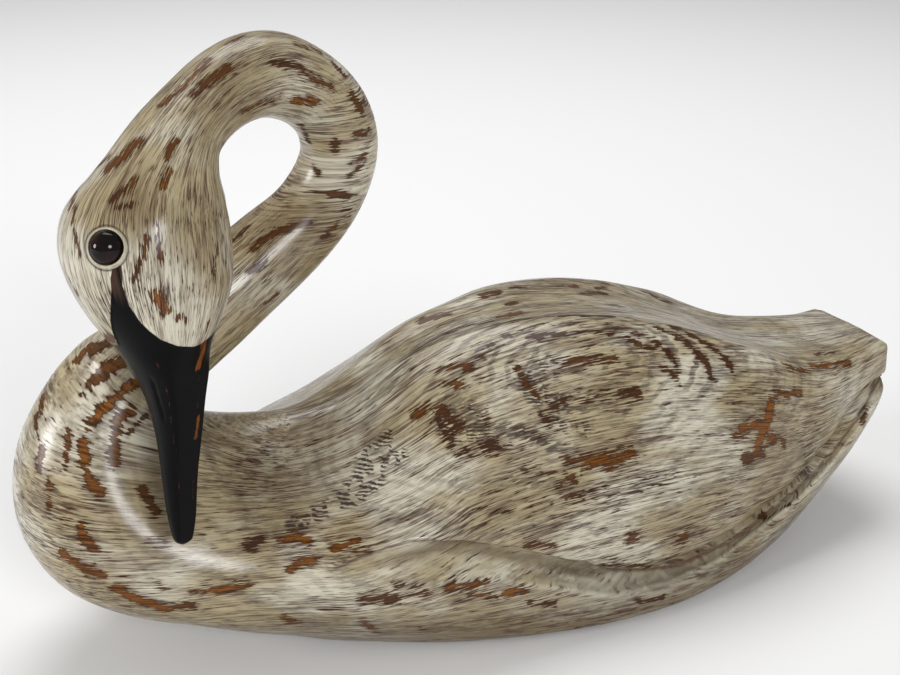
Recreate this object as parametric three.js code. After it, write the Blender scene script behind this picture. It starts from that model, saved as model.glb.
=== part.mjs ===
// Swan decoy carved from one block of wood, with two glass eyes.
// Body, folded wings, tail, neck, head and bill are one piece: only the eyes are set in.
// X runs from the breast to the tail, Y to the bird's left, Z up from the table.
// The origin is on the underside, halfway along the swan and halfway across it.

import * as THREE from 'three';

// Driving sizes of the carving in millimetres
const LENGTH = 478;
const WIDTH = 183;
const HEIGHT = 293;

// Driving sizes of the eyes in millimetres
const EYE_DIAMETER = 12.7;
const EYE_DOME_RISE = 3.2;
const EYE_SHANK_LENGTH = 3.8;
const EYE_GAP = 0.3;
const EYE_RING_WIDTH = 1.35;
const EYE_RING_RISE = 0.8;
const EYE_GROOVE_WIDTH = 0.8;
const EYE_GROOVE_DEPTH = 0.5;
// Height of the foot of the glass dome against the wood at the middle of the eye.
const EYE_SEAT = -0.4;

// The pattern
// The carver's pattern is drawn in squares, about a hundred of them along the swan.
// The finished shape is stretched from the pattern to the driving sizes.

// Lines of the body from the breast end to the tail: x, then z, or y and z where both vary.
// The valley runs between the wings, the crest along the top of each wing,
// the lip along the lower edge of the wing and the rim along the flank below it.
const VALLEY = [
  [-34, 26.5], [-26, 22.9], [-23, 22.4], [-20, 22.5], [-17, 23.3], [-13, 25.2], [-9, 27.2],
  [-4, 28.7], [2.5, 29.4], [10, 29], [19, 26.8], [26, 24.1], [31, 22.1], [37, 20.6], [43, 19.8], [50, 19.6],
];
const CREST = [
  [-34, 3, 24.6], [-26, 2.4, 21.6], [-21, 2.2, 21.8], [-17.3, 2.3, 23.2], [-11.4, 2.7, 26.8],
  [-6.8, 3.2, 28.7], [-2, 4, 29.7], [3, 5.1, 30.3], [10.2, 6.2, 29.8], [19.1, 8, 27.8], [25.6, 9.6, 25.3],
  [31, 9.8, 23.3], [37, 9, 21.6], [43, 7.8, 20.5], [50, 6.8, 19.8],
];
const LIP = [
  [-34, 14, 12.8], [-27, 15.5, 13.2], [-22, 17, 14], [-17, 17.9, 14.8], [-12, 18.2, 14.6],
  [-6, 18.3, 12.2], [0, 18.2, 9.3], [6, 18, 6.7], [12, 17.5, 5.4], [19, 16.4, 5.6],
  [26, 14.8, 6.6], [33, 13, 8.8], [39, 11, 11.8], [45, 8.6, 15.2], [50, 7, 16.5],
];
const RIM = [
  [-34, 13.4, 9.6], [-27, 15.6, 10.6], [-22, 17.4, 11.2], [-16, 18.5, 11.2], [-8, 19, 9.2],
  [0, 19.2, 6], [6, 19.2, 4.1], [13, 18.9, 3.3], [21, 17.8, 4.1], [29, 16, 6.2],
  [36, 13.9, 9.1], [43, 11.4, 12.2], [48, 9, 14.3], [50, 7.2, 15.2],
];

// Half width and height of the flat underside, which rises to the tail and to the breast.
const UNDERSIDE = [
  [-34, 4.2, 1.8], [-28, 6.3, 0.5], [-22.3, 7.6, 0], [-18, 10, 0], [-11.4, 13.8, 0], [-4, 16.5, 0],
  [3.2, 18.1, 0], [9, 18.5, 0], [15.6, 18, 0], [23.6, 15.4, 0], [30, 12.7, 0.8], [36, 10.2, 3],
  [42, 8, 6.2], [47, 6.4, 9.6], [50, 5.6, 12.2],
];

// How square-shouldered the wing is from its crest to its lip: 1 is a plain ellipse, less is fuller.
const FULLNESS = [
  [-34, 1.6], [-22, 1.75], [-12, 1.58], [-5, 1.33], [3, 1.1], [12, 0.92], [20, 0.88], [28, 0.93],
  [36, 1.12], [44, 1.15], [50, 1.05],
];
const WING_SWELL = 1.1;

// The groove under the wing's lip
const GROOVE_DEPTH = 1.3;
const GROOVE_START = -27;
const GROOVE_RUN_IN = 12;
const UNDERCUT_DEPTH = 0.8;
const UNDERCUT_START = -22;
const UNDERCUT_RUN_IN = 10;
const LIP_THICKNESS = 0.35;

// The tail end
const TAIL_END = 50;
const TAIL_RUN_IN = 8;
const TAIL_BOW = 0.7;
const TAIL_HALF_WIDTH = 7;
const RIM_NOSE = 1.1;

// Rays that fan round the breast, from the crook behind the neck out to the skin: x and z of the crook,
// x and z of the skin, half width, how far the neck is waisted in, and how keen the breast is.
const FAN = [
  [-16, 23.7, -16, 0, 17.8, 0, 1.3],
  [-21, 22.4, -22, 0.2, 17.2, 0, 1.35],
  [-25.2, 22.7, -28.6, 1.1, 16.2, 0.02, 1.25],
  [-28.6, 23.1, -35.2, 3, 14.5, 0.08, 1.7],
  [-31, 23.8, -41.8, 5.4, 13, 0.16, 1.32],
  [-32.3, 24.5, -47.2, 9.6, 11.5, 0.22, 1],
  [-32.9, 25.2, -49.7, 14.4, 9.9, 0.24, 0.9],
  [-33.1, 25.9, -50, 19.2, 8.4, 0.22, 0.88],
  [-32.9, 26.5, -48.8, 24, 7.2, 0.16, 0.9],
  [-32.6, 27, -46.7, 28, 6.2, 0.09, 0.95],
  [-32.3, 27.4, -44, 31.4, 5.5, 0.04, 1],
  [-32, 27.6, -41, 33.9, 5, 0, 1],
];
// The carved body gives way to the plain round breast from this x, over this many squares.
const BREAST_START = -22;
const BREAST_RUN_IN = 11;

// Middle line of the neck, the head and the bill: x, y, z, half width, half depth,
// and the turn in degrees that brings the crown round to the bird's right.
const LIMB = [
  [-34.9, 0, 31.2, 4.7, 4.7, 0],
  [-29.9, 0.2, 34.7, 4.5, 4.5, 0],
  [-24.2, 0.6, 38.7, 4.4, 4.4, 0],
  [-18.9, 0.6, 42.8, 3.9, 3.9, 0],
  [-16.1, 0, 47.9, 3.8, 3.8, 4],
  [-17, -1.2, 52.5, 3.8, 3.8, 10],
  [-20.2, -2.5, 55.9, 3.8, 3.8, 22],
  [-25.1, -4.6, 57.8, 3.9, 4, 40],
  [-29.5, -6.3, 56.8, 3.6, 3.7, 58],
  [-33, -8, 54.6, 3.6, 3.7, 82],
  [-35.5, -9.4, 51.8, 4.8, 4.9, 102],
  [-37.2, -10.3, 49.1, 6.4, 6.8, 112],
  [-37.8, -10.9, 46, 7.2, 7.4, 118],
  [-37.8, -11.6, 42.7, 6.9, 7.2, 118],
  [-37.7, -12.3, 39.4, 5.5, 5.7, 118],
  [-37.3, -13, 36.2, 3.8, 3.7, 118],
  [-36.9, -13.6, 33.2, 2.65, 2.4, 118],
  [-37, -14.3, 29, 1.95, 1.7, 118],
  [-37.4, -14.9, 25, 1.6, 1.25, 118],
  [-37.6, -15.4, 21.6, 1.35, 1, 118],
  [-37.7, -15.6, 19.3, 1, 0.6, 118],
];
const NECK_KEYS = 9;
const HEAD_KEYS = 6;
// Half the stretch of middle line that sets which way a ring of the neck faces.
const LOOK_AHEAD = 1.2;
// The rings turn to face along the head over this many squares past the neck's end.
const HEAD_AXIS = new THREE.Vector3(-2, -4.2, -18.6).normalize();
const NAPE_REACH = 8;
// The bill is flat on top: its depth is drawn out and then planed off at this share.
const BILL_DEPTH_SHARE = 1.4;
const BILL_PLANED_SHARE = 0.86;
const BILL_RUN_IN = 3;
const BILL_POINT = 0.4;

// The soft hollow between the root of the neck and each wing: x, distance from the middle, z.
const SHOULDER_HOLLOW = [
  [-18, 5.8, 22.6], [-21, 6.8, 21.6], [-24, 7.7, 20.3], [-27, 8.9, 18.9], [-30.5, 11.4, 16.4],
];
const HOLLOW_DEPTH = 0.6;
const HOLLOW_WIDTH = 2.2;
const BODY_CORE_HEIGHT = 12;

// Facets
// Columns run round the body and the neck. Column 0 is the back and the crown, then come
// the bird's right side, the keel and throat, and the left side.
const HALF_COLUMNS = 16;
const COLUMNS = 2 * HALF_COLUMNS;
const CREST_COLUMN = 3;
const RIM_COLUMN = 11;
const BODY_ROWS = 36;
const FAN_ROWS = 20;
const NECK_ROWS = 24;
const HEAD_ROWS = 20;
const BILL_ROWS = 13;
const EYE_SIDES = 24;
const EYE_DOME_STEPS = 5;

// The eyes sit this many columns round from the crown, on this ring of the head,
// a little farther down, and look a little forward of square to the skin.
const EYE_COLUMN = 6;
const EYE_HEAD_ROW = 10;
const EYE_DRIFT = 0.4;
const EYE_FORWARD = 0.35;
// Block of skin that an eye socket replaces, in rows and columns either side of the eye.
const BLOCK_ROWS = 3;
const BLOCK_COLUMNS = 2;
const BLOCK_MARGIN = 1.2;

const mix = (a, b, share) => a + (b - a) * share;
const clamp01 = (value) => Math.min(1, Math.max(0, value));
const smooth = (value) => clamp01(value) ** 2 * (3 - 2 * clamp01(value));

// The middle of a ring of points.
const middleOf = (ring) => ring.reduce((sum, p) => sum.add(p), new THREE.Vector3()).divideScalar(ring.length);

// Follows a line of keys smoothly. The first number of a key is where it stands on the line.
function follow(keys, at) {
  const last = keys.length - 1;
  let i = 0;
  while (i < last - 1 && at > keys[i + 1][0]) i += 1;
  const [start, end] = [keys[i], keys[i + 1]];
  const [before, after] = [keys[Math.max(i - 1, 0)], keys[Math.min(i + 2, last)]];
  const step = end[0] - start[0];
  const t = clamp01((at - start[0]) / step);
  const [t2, t3] = [t * t, t * t * t];
  return start.slice(1).map((value, n) => {
    const c = n + 1;
    const leave = step * (end[c] - before[c]) / (end[0] - before[0]);
    const arrive = step * (after[c] - start[c]) / (after[0] - start[0]);
    return (2 * t3 - 3 * t2 + 1) * value + (t3 - 2 * t2 + t) * leave
      + (3 * t2 - 2 * t3) * end[c] + (t3 - t2) * arrive;
  });
}

// Keys that are only in order get their place in the list as the first number.
const numbered = (keys) => keys.map((key, i) => [i, ...key]);

// Keys in space get their distance along the line as the first number.
function measured(keys) {
  let travelled = 0;
  return keys.map((key, i) => {
    if (i > 0) travelled += Math.hypot(...[0, 1, 2].map((n) => key[n] - keys[i - 1][n]));
    return [travelled, ...key];
  });
}

// Both halves of a ring that is even about the middle plane.
function mirrored(half) {
  const other = half.slice(1, HALF_COLUMNS).reverse();
  return [...half, ...other.map((p) => new THREE.Vector3(p.x, -p.y, p.z))];
}

// Rounds off the corners of an outline between two columns, by a share from none to full.
function soften(outline, first, last, share) {
  for (let pass = 0; pass < 5; pass += 1) {
    for (let i = first; i <= last; i += 1) {
      const [before, after] = [outline[i - 1], outline[i + 1]];
      outline[i] = outline[i].map((value, n) => mix(value, (before[n] + after[n]) / 2, share / 2));
    }
  }
}

// Half of a cross section of the body at x, from the valley between the wings down to the keel.
function bodyOutline(x) {
  const [valleyZ] = follow(VALLEY, x);
  const [crestY, crestZ] = follow(CREST, x);
  const [lipY, lipZ] = follow(LIP, x);
  const [rimY, rimZ] = follow(RIM, x);
  const [baseY, baseZ] = follow(UNDERSIDE, x);
  const [fullness] = follow(FULLNESS, x);
  const swell = WING_SWELL * smooth((x + 30) / 30) * smooth((46 - x) / 24);
  const wing = [18, 36, 54, 72].map((degrees) => {
    const angle = THREE.MathUtils.degToRad(degrees);
    const out = Math.sin(angle) ** fullness;
    const up = Math.cos(angle) ** fullness;
    return [mix(crestY, lipY, out) + swell * Math.sin(angle) ** 4, mix(lipZ, crestZ, up)];
  });
  const groove = GROOVE_DEPTH * smooth((x - GROOVE_START) / GROOVE_RUN_IN);
  const undercut = UNDERCUT_DEPTH * smooth((x - UNDERCUT_START) / UNDERCUT_RUN_IN);
  const outline = [
    [0, valleyZ],
    [0.45 * crestY, mix(valleyZ, crestZ, 0.12)],
    [0.86 * crestY, mix(valleyZ, crestZ, 0.6)],
    [crestY, crestZ],
    ...wing,
    [lipY, lipZ],
    [lipY - undercut, lipZ - LIP_THICKNESS],
    [mix(lipY, rimY, 0.5) - groove, mix(lipZ, rimZ, 0.5)],
    [rimY, rimZ],
    [mix(rimY, baseY, 0.08), mix(rimZ, baseZ, 0.35)],
    [mix(rimY, baseY, 0.45), mix(rimZ, baseZ, 0.75)],
    [mix(rimY, baseY, 0.8), baseZ + 0.4],
    [baseY - 0.6, baseZ],
    [0, baseZ],
  ];
  soften(outline, CREST_COLUMN - 1, CREST_COLUMN + 3, smooth((x - 27) / 12) * smooth((51 - x) / 5));
  soften(outline, RIM_COLUMN - 1, RIM_COLUMN + 1, 0.6 * smooth((-24 - x) / 6));
  return outline;
}

// Rings of the body from the tail to where the fan starts. The tail's end is bowed,
// and the rim stops short of it in a rounded nose.
function bodyRings() {
  const rings = [];
  for (let row = 0; row < BODY_ROWS; row += 1) {
    const x = mix(TAIL_END, FAN[0][0], (row / BODY_ROWS) ** 1.15);
    const nearEnd = smooth((x - TAIL_END + TAIL_RUN_IN) / TAIL_RUN_IN);
    const half = bodyOutline(x).map(([y, z], column) => {
      const below = (column - RIM_COLUMN + 1) / (HALF_COLUMNS - RIM_COLUMN + 1);
      const shift = below > 0 ? -RIM_NOSE * below : TAIL_BOW * (1 - (y / TAIL_HALF_WIDTH) ** 2);
      return new THREE.Vector3(x + nearEnd * shift, y, Math.max(z, 0));
    });
    rings.push(mirrored(half));
  }
  return rings;
}

// Round section as a share of the half width and of the way from the back to the breast.
function roundOutline(column, widest, waist, keen) {
  const angle = Math.PI * column / HALF_COLUMNS;
  const along = ((1 - Math.cos(angle)) / 2) ** (Math.log(widest) / Math.log(0.5));
  const pinch = 1 - waist * Math.exp(-(((along - 0.24) / 0.16) ** 2));
  const sharp = mix(0.92, keen, smooth((along - widest) / (1 - widest)));
  return [Math.sin(angle) ** sharp * pinch, along];
}

// Point of the carved body on a slanting ray. The ray's x depends on how far down the
// outline the point lies, so it is found by closing in on it.
function carvedPoint(column, [crookX, crookZ], [skinX, skinZ]) {
  const point = new THREE.Vector3(crookX, 0, crookZ);
  for (let pass = 0; pass < 4; pass += 1) {
    const outline = bodyOutline(Math.max(point.x, CREST[0][0]));
    const [y, z] = outline[column];
    const share = (outline[0][1] - z) / (outline[0][1] - outline[HALF_COLUMNS][1]);
    point.set(mix(crookX, skinX, share), y, mix(crookZ, skinZ, share));
  }
  return point;
}

// Rings that fan round the breast from the body to the root of the neck.
function fanRings() {
  const keys = numbered(FAN);
  const rings = [];
  for (let row = 0; row < FAN_ROWS; row += 1) {
    const at = (FAN.length - 1) * row / (FAN_ROWS - 0.5);
    const [crookX, crookZ, skinX, skinZ, halfWidth, waist, keen] = follow(keys, at);
    const widest = mix(0.62, 0.5, smooth(at / (FAN.length - 1)));
    const half = [];
    for (let column = 0; column <= HALF_COLUMNS; column += 1) {
      const [out, along] = roundOutline(column, widest, waist, keen);
      const round = new THREE.Vector3(mix(crookX, skinX, along), out * halfWidth, mix(crookZ, skinZ, along));
      const point = carvedPoint(column, [crookX, crookZ], [skinX, skinZ]);
      point.lerp(round, smooth((BREAST_START - point.x) / BREAST_RUN_IN));
      point.z = Math.max(point.z, 0);
      half.push(point);
    }
    rings.push(mirrored(half));
  }
  return rings;
}

// One ring of the neck, the head or the bill, at a distance along the middle line.
function limbRing(keys, at, [, neckEnd, headEnd]) {
  const point = (place) => new THREE.Vector3(...follow(keys, place).slice(0, 3));
  const along = point(at + LOOK_AHEAD).sub(point(at - LOOK_AHEAD)).normalize();
  along.lerp(HEAD_AXIS, smooth((at - neckEnd + 1) / NAPE_REACH)).normalize();
  const [, , , halfWidth, halfDepth, turn] = follow(keys, at);
  const crown = new THREE.Vector3(0, 1, 0).cross(along).normalize();
  crown.applyAxisAngle(along, -THREE.MathUtils.degToRad(turn));
  const side = along.clone().cross(crown);
  const flatness = smooth((at - headEnd + 1) / BILL_RUN_IN);
  const ring = [];
  for (let column = 0; column < COLUMNS; column += 1) {
    const angle = 2 * Math.PI * column / COLUMNS;
    const flatTopped = Math.max(Math.min(BILL_DEPTH_SHARE * Math.cos(angle), BILL_PLANED_SHARE), -1);
    ring.push(point(at)
      .addScaledVector(crown, halfDepth * mix(Math.cos(angle), flatTopped, flatness))
      .addScaledVector(side, halfWidth * Math.sin(angle)));
  }
  return ring;
}

// Rings along the neck, the head and the bill, turned with the head.
function limbRings() {
  const keys = measured(LIMB);
  const stops = [0, NECK_KEYS, NECK_KEYS + HEAD_KEYS, LIMB.length - 1].map((n) => keys[n][0]);
  const rings = [];
  [NECK_ROWS, HEAD_ROWS, BILL_ROWS].forEach((rows, part) => {
    for (let row = 0; row < rows; row += 1) {
      rings.push(limbRing(keys, mix(stops[part], stops[part + 1], row / rows), stops));
    }
  });
  rings.push(limbRing(keys, stops[3], stops));
  return rings;
}

// Presses the shoulder hollows into the rings.
function pressHollows(rings) {
  const corners = SHOULDER_HOLLOW.map((key) => new THREE.Vector3(...key));
  const stretches = corners.slice(1).map((end, i) => new THREE.Line3(corners[i], end));
  const near = new THREE.Vector3();
  for (const p of rings.flat()) {
    const place = new THREE.Vector3(p.x, Math.abs(p.y), p.z);
    const away = stretches.map((line) => line.closestPointToPoint(place, true, near).distanceTo(place));
    const press = HOLLOW_DEPTH * Math.exp(-((Math.min(...away) / HOLLOW_WIDTH) ** 2));
    p.addScaledVector(new THREE.Vector3(p.x, 0, BODY_CORE_HEIGHT).sub(p).normalize(), press);
  }
}

// Stretches the pattern to the driving sizes and puts the origin under the middle.
function stretchToSizes(rings) {
  const box = new THREE.Box3().setFromPoints(rings.flat());
  const origin = box.getCenter(new THREE.Vector3()).setZ(box.min.z);
  const scale = new THREE.Vector3(LENGTH, WIDTH, HEIGHT).divide(box.getSize(new THREE.Vector3()));
  for (const p of rings.flat()) p.sub(origin).multiply(scale);
}

// Collects corners and faces into one closed skin.
class Skin {
  constructor() {
    this.positions = [];
    this.faces = [];
  }

  corner(p) {
    this.positions.push(p.x, p.y, p.z);
    return this.positions.length / 3 - 1;
  }

  quad(a, b, c, d) {
    this.faces.push(a, b, c, a, c, d);
  }

  geometry() {
    const geometry = new THREE.BufferGeometry();
    geometry.setAttribute('position', new THREE.Float32BufferAttribute(this.positions, 3));
    geometry.setIndex(this.faces);
    return geometry;
  }
}

// Where an eye sits on the head: its middle, the way it looks out, and two directions square to that.
function eyeSeat(rings, column) {
  const row = BODY_ROWS + FAN_ROWS + NECK_ROWS + EYE_HEAD_ROW;
  const at = (r, c) => rings[r][(c + COLUMNS) % COLUMNS].clone();
  const centre = at(row, column).lerp(at(row + 1, column), EYE_DRIFT);
  const forward = at(row, 0).sub(at(row, HALF_COLUMNS)).normalize();
  const down = at(row + 1, column).sub(at(row - 1, column)).normalize();
  const round = at(row, column + 1).sub(at(row, column - 1)).normalize();
  const outward = round.cross(down).normalize().addScaledVector(forward, EYE_FORWARD).normalize();
  const across = down.cross(outward).normalize();
  return { row, column, centre, outward, across, upright: outward.clone().cross(across) };
}

// Point beside an eye seat, from how far out it is, its angle round the eye and its height above the seat.
const beside = (seat, out, angle, height) => seat.centre.clone()
  .addScaledVector(seat.upright, out * Math.cos(angle))
  .addScaledVector(seat.across, out * Math.sin(angle))
  .addScaledVector(seat.outward, height);

// Circles of an eye socket from the skin down to its floor: radius, and lift above the skin.
function socketCircles() {
  const socket = EYE_DIAMETER / 2 + EYE_GAP;
  const ringOut = socket + EYE_RING_WIDTH;
  const grooveOut = ringOut + EYE_GROOVE_WIDTH;
  return [
    [grooveOut + BLOCK_MARGIN, 0],
    [grooveOut, 0],
    [(ringOut + grooveOut) / 2, -EYE_GROOVE_DEPTH],
    [ringOut, 0.1],
    [(socket + ringOut) / 2, EYE_RING_RISE],
    [socket, EYE_RING_RISE / 3],
    [socket, EYE_SEAT - EYE_SHANK_LENGTH - EYE_GAP],
  ];
}

// Rows and columns of the corners round the edge of the block that a socket replaces, in order.
function blockEdge({ row, column }) {
  const edge = [];
  for (let c = -BLOCK_COLUMNS; c < BLOCK_COLUMNS; c += 1) edge.push([row - BLOCK_ROWS, column + c]);
  for (let r = -BLOCK_ROWS; r < BLOCK_ROWS; r += 1) edge.push([row + r, column + BLOCK_COLUMNS]);
  for (let c = BLOCK_COLUMNS; c > -BLOCK_COLUMNS; c -= 1) edge.push([row + BLOCK_ROWS, column + c]);
  for (let r = BLOCK_ROWS; r > -BLOCK_ROWS; r -= 1) edge.push([row + r, column - BLOCK_COLUMNS]);
  return edge;
}

const inBlock = (seat, row, column) => row >= seat.row - BLOCK_ROWS && row < seat.row + BLOCK_ROWS
  && column >= seat.column - BLOCK_COLUMNS && column < seat.column + BLOCK_COLUMNS;

// Adds an eye socket with its raised ring to the skin. Its circles have as many corners as the
// block's edge, evenly spaced, and lie on the head's own curve.
function addSocket(skin, rings, seat) {
  const edge = blockEdge(seat);
  const toward = edge.map(([r, c]) => rings[r][(c + COLUMNS) % COLUMNS].clone().sub(seat.centre));
  const flat = toward.map((p) => new THREE.Vector2(p.dot(seat.upright), p.dot(seat.across)));
  const bend = toward.map((p, i) => p.dot(seat.outward) / flat[i].lengthSq());
  const step = Math.sign(flat[0].cross(flat[1])) * 2 * Math.PI / edge.length;
  const drift = flat.map((p, i) => {
    const off = p.angle() - flat[0].angle() - i * step;
    return Math.atan2(Math.sin(off), Math.cos(off));
  });
  const first = flat[0].angle() + drift.reduce((sum, off) => sum + off, 0) / edge.length;
  let outer = edge.map(([r, c]) => r * COLUMNS + ((c + COLUMNS) % COLUMNS));
  for (const [radius, lift] of socketCircles()) {
    const inner = bend.map((rise, i) => (
      skin.corner(beside(seat, radius, first + i * step, rise * radius ** 2 + lift))));
    inner.forEach((corner, i) => {
      const next = (i + 1) % inner.length;
      skin.quad(outer[i], outer[next], inner[next], corner);
    });
    outer = inner;
  }
  const floor = skin.corner(beside(seat, 0, 0, EYE_SEAT - EYE_SHANK_LENGTH - 2 * EYE_GAP));
  outer.forEach((corner, i) => skin.faces.push(corner, outer[(i + 1) % outer.length], floor));
}

// The wooden skin: rings joined up, a flat cap at the tail, a blunt point at the bill and the eye sockets.
function skinGeometry(rings, seats) {
  const skin = new Skin();
  const last = rings.length - 1;
  const corner = (row, column) => row * COLUMNS + (column % COLUMNS);
  rings.flat().forEach((p) => skin.corner(p));
  for (let row = 0; row < last; row += 1) {
    for (let column = 0; column < COLUMNS; column += 1) {
      if (seats.some((seat) => inBlock(seat, row, column))) continue;
      const [a, b] = [corner(row, column), corner(row, column + 1)];
      const [c, d] = [corner(row + 1, column + 1), corner(row + 1, column)];
      skin.quad(a, b, c, d);
    }
  }
  for (let column = 1; column < HALF_COLUMNS - 1; column += 1) {
    const [a, b] = [corner(0, column), corner(0, COLUMNS - column)];
    const [c, d] = [corner(0, COLUMNS - column - 1), corner(0, column + 1)];
    skin.quad(a, b, c, d);
  }
  skin.faces.push(corner(0, 0), corner(0, COLUMNS - 1), corner(0, 1));
  skin.faces.push(corner(0, HALF_COLUMNS), corner(0, HALF_COLUMNS - 1), corner(0, HALF_COLUMNS + 1));
  const tip = skin.corner(middleOf(rings[last]).lerp(middleOf(rings[last - 1]), -BILL_POINT));
  for (let column = 0; column < COLUMNS; column += 1) {
    skin.faces.push(corner(last, column), corner(last, column + 1), tip);
  }
  seats.forEach((seat) => addSocket(skin, rings, seat));
  return skin.geometry();
}

// Glass eye: a plain shank with a shallow dome on top, turned about the way the eye looks.
function eyeGeometry(seat) {
  const radius = EYE_DIAMETER / 2;
  const curve = (radius ** 2 + EYE_DOME_RISE ** 2) / (2 * EYE_DOME_RISE);
  const spread = Math.asin(radius / curve);
  const profile = [[radius, -EYE_SHANK_LENGTH]];
  for (let i = 0; i < EYE_DOME_STEPS; i += 1) {
    const angle = spread * (1 - i / EYE_DOME_STEPS);
    profile.push([curve * Math.sin(angle), EYE_DOME_RISE - curve * (1 - Math.cos(angle))]);
  }
  const skin = new Skin();
  const turn = 2 * Math.PI / EYE_SIDES;
  const place = (out, side, up) => skin.corner(beside(seat, out, turn * side, up + EYE_SEAT));
  const sides = Array.from({ length: EYE_SIDES }, (_, side) => side);
  const circles = profile.map(([out, up]) => sides.map((side) => place(out, side, up)));
  const bottom = place(0, 0, -EYE_SHANK_LENGTH);
  const top = place(0, 0, EYE_DOME_RISE);
  for (const side of sides) {
    const next = (side + 1) % EYE_SIDES;
    for (let level = 1; level < circles.length; level += 1) {
      const [low, high] = [circles[level - 1], circles[level]];
      skin.quad(low[next], low[side], high[side], high[next]);
    }
    skin.faces.push(circles[0][side], circles[0][next], bottom);
    skin.faces.push(circles[EYE_DOME_STEPS][next], circles[EYE_DOME_STEPS][side], top);
  }
  return skin.geometry();
}

const rings = [...bodyRings(), ...fanRings(), ...limbRings()];
pressHollows(rings);
stretchToSizes(rings);
const rightSeat = eyeSeat(rings, EYE_COLUMN);
const leftSeat = eyeSeat(rings, COLUMNS - EYE_COLUMN);

const paintedWood = new THREE.MeshStandardMaterial({ color: '#cfc5ae', roughness: 0.45, metalness: 0 });
const darkGlass = new THREE.MeshStandardMaterial({ color: '#1c120d', roughness: 0.08, metalness: 0 });

const decoy = new THREE.Group();
const addPiece = (name, geometry, material) => {
  const piece = new THREE.Mesh(geometry, material);
  piece.name = name;
  decoy.add(piece);
};
addPiece('swan', skinGeometry(rings, [rightSeat, leftSeat]), paintedWood);
addPiece('eye_right', eyeGeometry(rightSeat), darkGlass);
addPiece('eye_left', eyeGeometry(leftSeat), darkGlass);

export default decoy;
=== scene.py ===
# %% [markdown]
# A carved swan with a worn whitewash
#
# The real object is one block of wood, carved and painted, with two glass eyes. The carving was
# washed with cream paint, rubbed back until the brown wood showed in patches, and varnished.
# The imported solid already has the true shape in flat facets. This lesson rounds it, cuts the
# finer tool marks into it, and builds the worn paint as a node material.

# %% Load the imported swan
import math

import bpy
import numpy as np
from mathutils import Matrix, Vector, noise
from mathutils.bvhtree import BVHTree
from mathutils.kdtree import KDTree


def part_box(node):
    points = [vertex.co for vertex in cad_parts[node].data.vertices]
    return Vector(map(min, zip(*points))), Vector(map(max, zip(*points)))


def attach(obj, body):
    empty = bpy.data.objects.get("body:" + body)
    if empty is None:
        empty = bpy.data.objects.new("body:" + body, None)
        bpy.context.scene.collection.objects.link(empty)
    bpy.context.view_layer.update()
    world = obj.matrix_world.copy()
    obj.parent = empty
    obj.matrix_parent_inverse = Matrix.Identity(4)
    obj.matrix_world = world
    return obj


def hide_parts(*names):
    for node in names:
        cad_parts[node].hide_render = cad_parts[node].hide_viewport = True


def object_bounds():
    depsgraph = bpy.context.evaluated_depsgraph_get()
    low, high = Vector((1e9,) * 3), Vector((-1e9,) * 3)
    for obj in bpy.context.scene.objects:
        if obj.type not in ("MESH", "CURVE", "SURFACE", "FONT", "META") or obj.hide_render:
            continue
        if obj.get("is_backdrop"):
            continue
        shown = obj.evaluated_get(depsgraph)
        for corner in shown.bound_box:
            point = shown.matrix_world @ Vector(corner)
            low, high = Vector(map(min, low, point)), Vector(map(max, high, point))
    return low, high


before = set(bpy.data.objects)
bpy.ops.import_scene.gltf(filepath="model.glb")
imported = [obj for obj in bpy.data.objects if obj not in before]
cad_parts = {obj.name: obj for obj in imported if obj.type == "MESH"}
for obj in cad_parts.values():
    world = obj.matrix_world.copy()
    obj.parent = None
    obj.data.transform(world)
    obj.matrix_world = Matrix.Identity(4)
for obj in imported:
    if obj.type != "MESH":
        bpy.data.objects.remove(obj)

MM = 0.001
cad_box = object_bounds()
low, high = [[round(c / MM) for c in corner] for corner in cad_box]
print("The solid reaches from", low, "to", high)

# %% [markdown]
# The camera comes first, because the paint marks further down are placed through it. It stands
# where the photographer stood: to the front and a little to the bird's right, looking down.
# A place in the photograph becomes a ray from this camera, and the ray finds the wood.

# %% Stand the camera where the photograph was taken
PHOTO_WIDTH = 900
PHOTO_HEIGHT = 675
LENS_MM = 56
SENSOR_MM = 36
CAMERA_AZIMUTH = math.radians(-25)
CAMERA_ELEVATION = math.radians(22)
CAMERA_DISTANCE = 700 * MM
CAMERA_TARGET = Vector((-21.7, 0, 130)) * MM
CLIP_NEAR = 10 * MM
CLIP_FAR = 20

level = math.cos(CAMERA_ELEVATION)
toward_camera = Vector((
    math.sin(CAMERA_AZIMUTH) * level,
    -math.cos(CAMERA_AZIMUTH) * level,
    math.sin(CAMERA_ELEVATION),
))
camera_place = CAMERA_TARGET + toward_camera * CAMERA_DISTANCE
camera_turn = toward_camera.to_track_quat("Z", "Y")

bpy.ops.object.select_all(action="DESELECT")
bpy.ops.object.camera_add(location=camera_place, rotation=camera_turn.to_euler())
camera = bpy.context.object
camera.data.lens = LENS_MM
camera.data.sensor_width = SENSOR_MM
camera.data.clip_start = CLIP_NEAR
camera.data.clip_end = CLIP_FAR
bpy.context.scene.camera = camera
print("The camera stands at", [round(c / MM) for c in camera_place])


def photo_ray(x, y):
    """Direction from the camera through a place in the photograph."""
    focal = LENS_MM / SENSOR_MM * PHOTO_WIDTH
    across = (x - PHOTO_WIDTH / 2) / focal
    down = (y - PHOTO_HEIGHT / 2) / focal
    return (camera_turn @ Vector((across, -down, -1))).normalized()


# %% [markdown]
# The swan's solid is made of flat triangles. Welding its corners and joining the triangles into
# quads gives a cage, and a Subdivision Surface modifier rounds the cage as sandpaper rounds a
# carving. Edges that the knife left crisp, such as the end of the tail and the lip of the wing,
# are marked with a crease first, so that the rounding leaves them.

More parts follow.
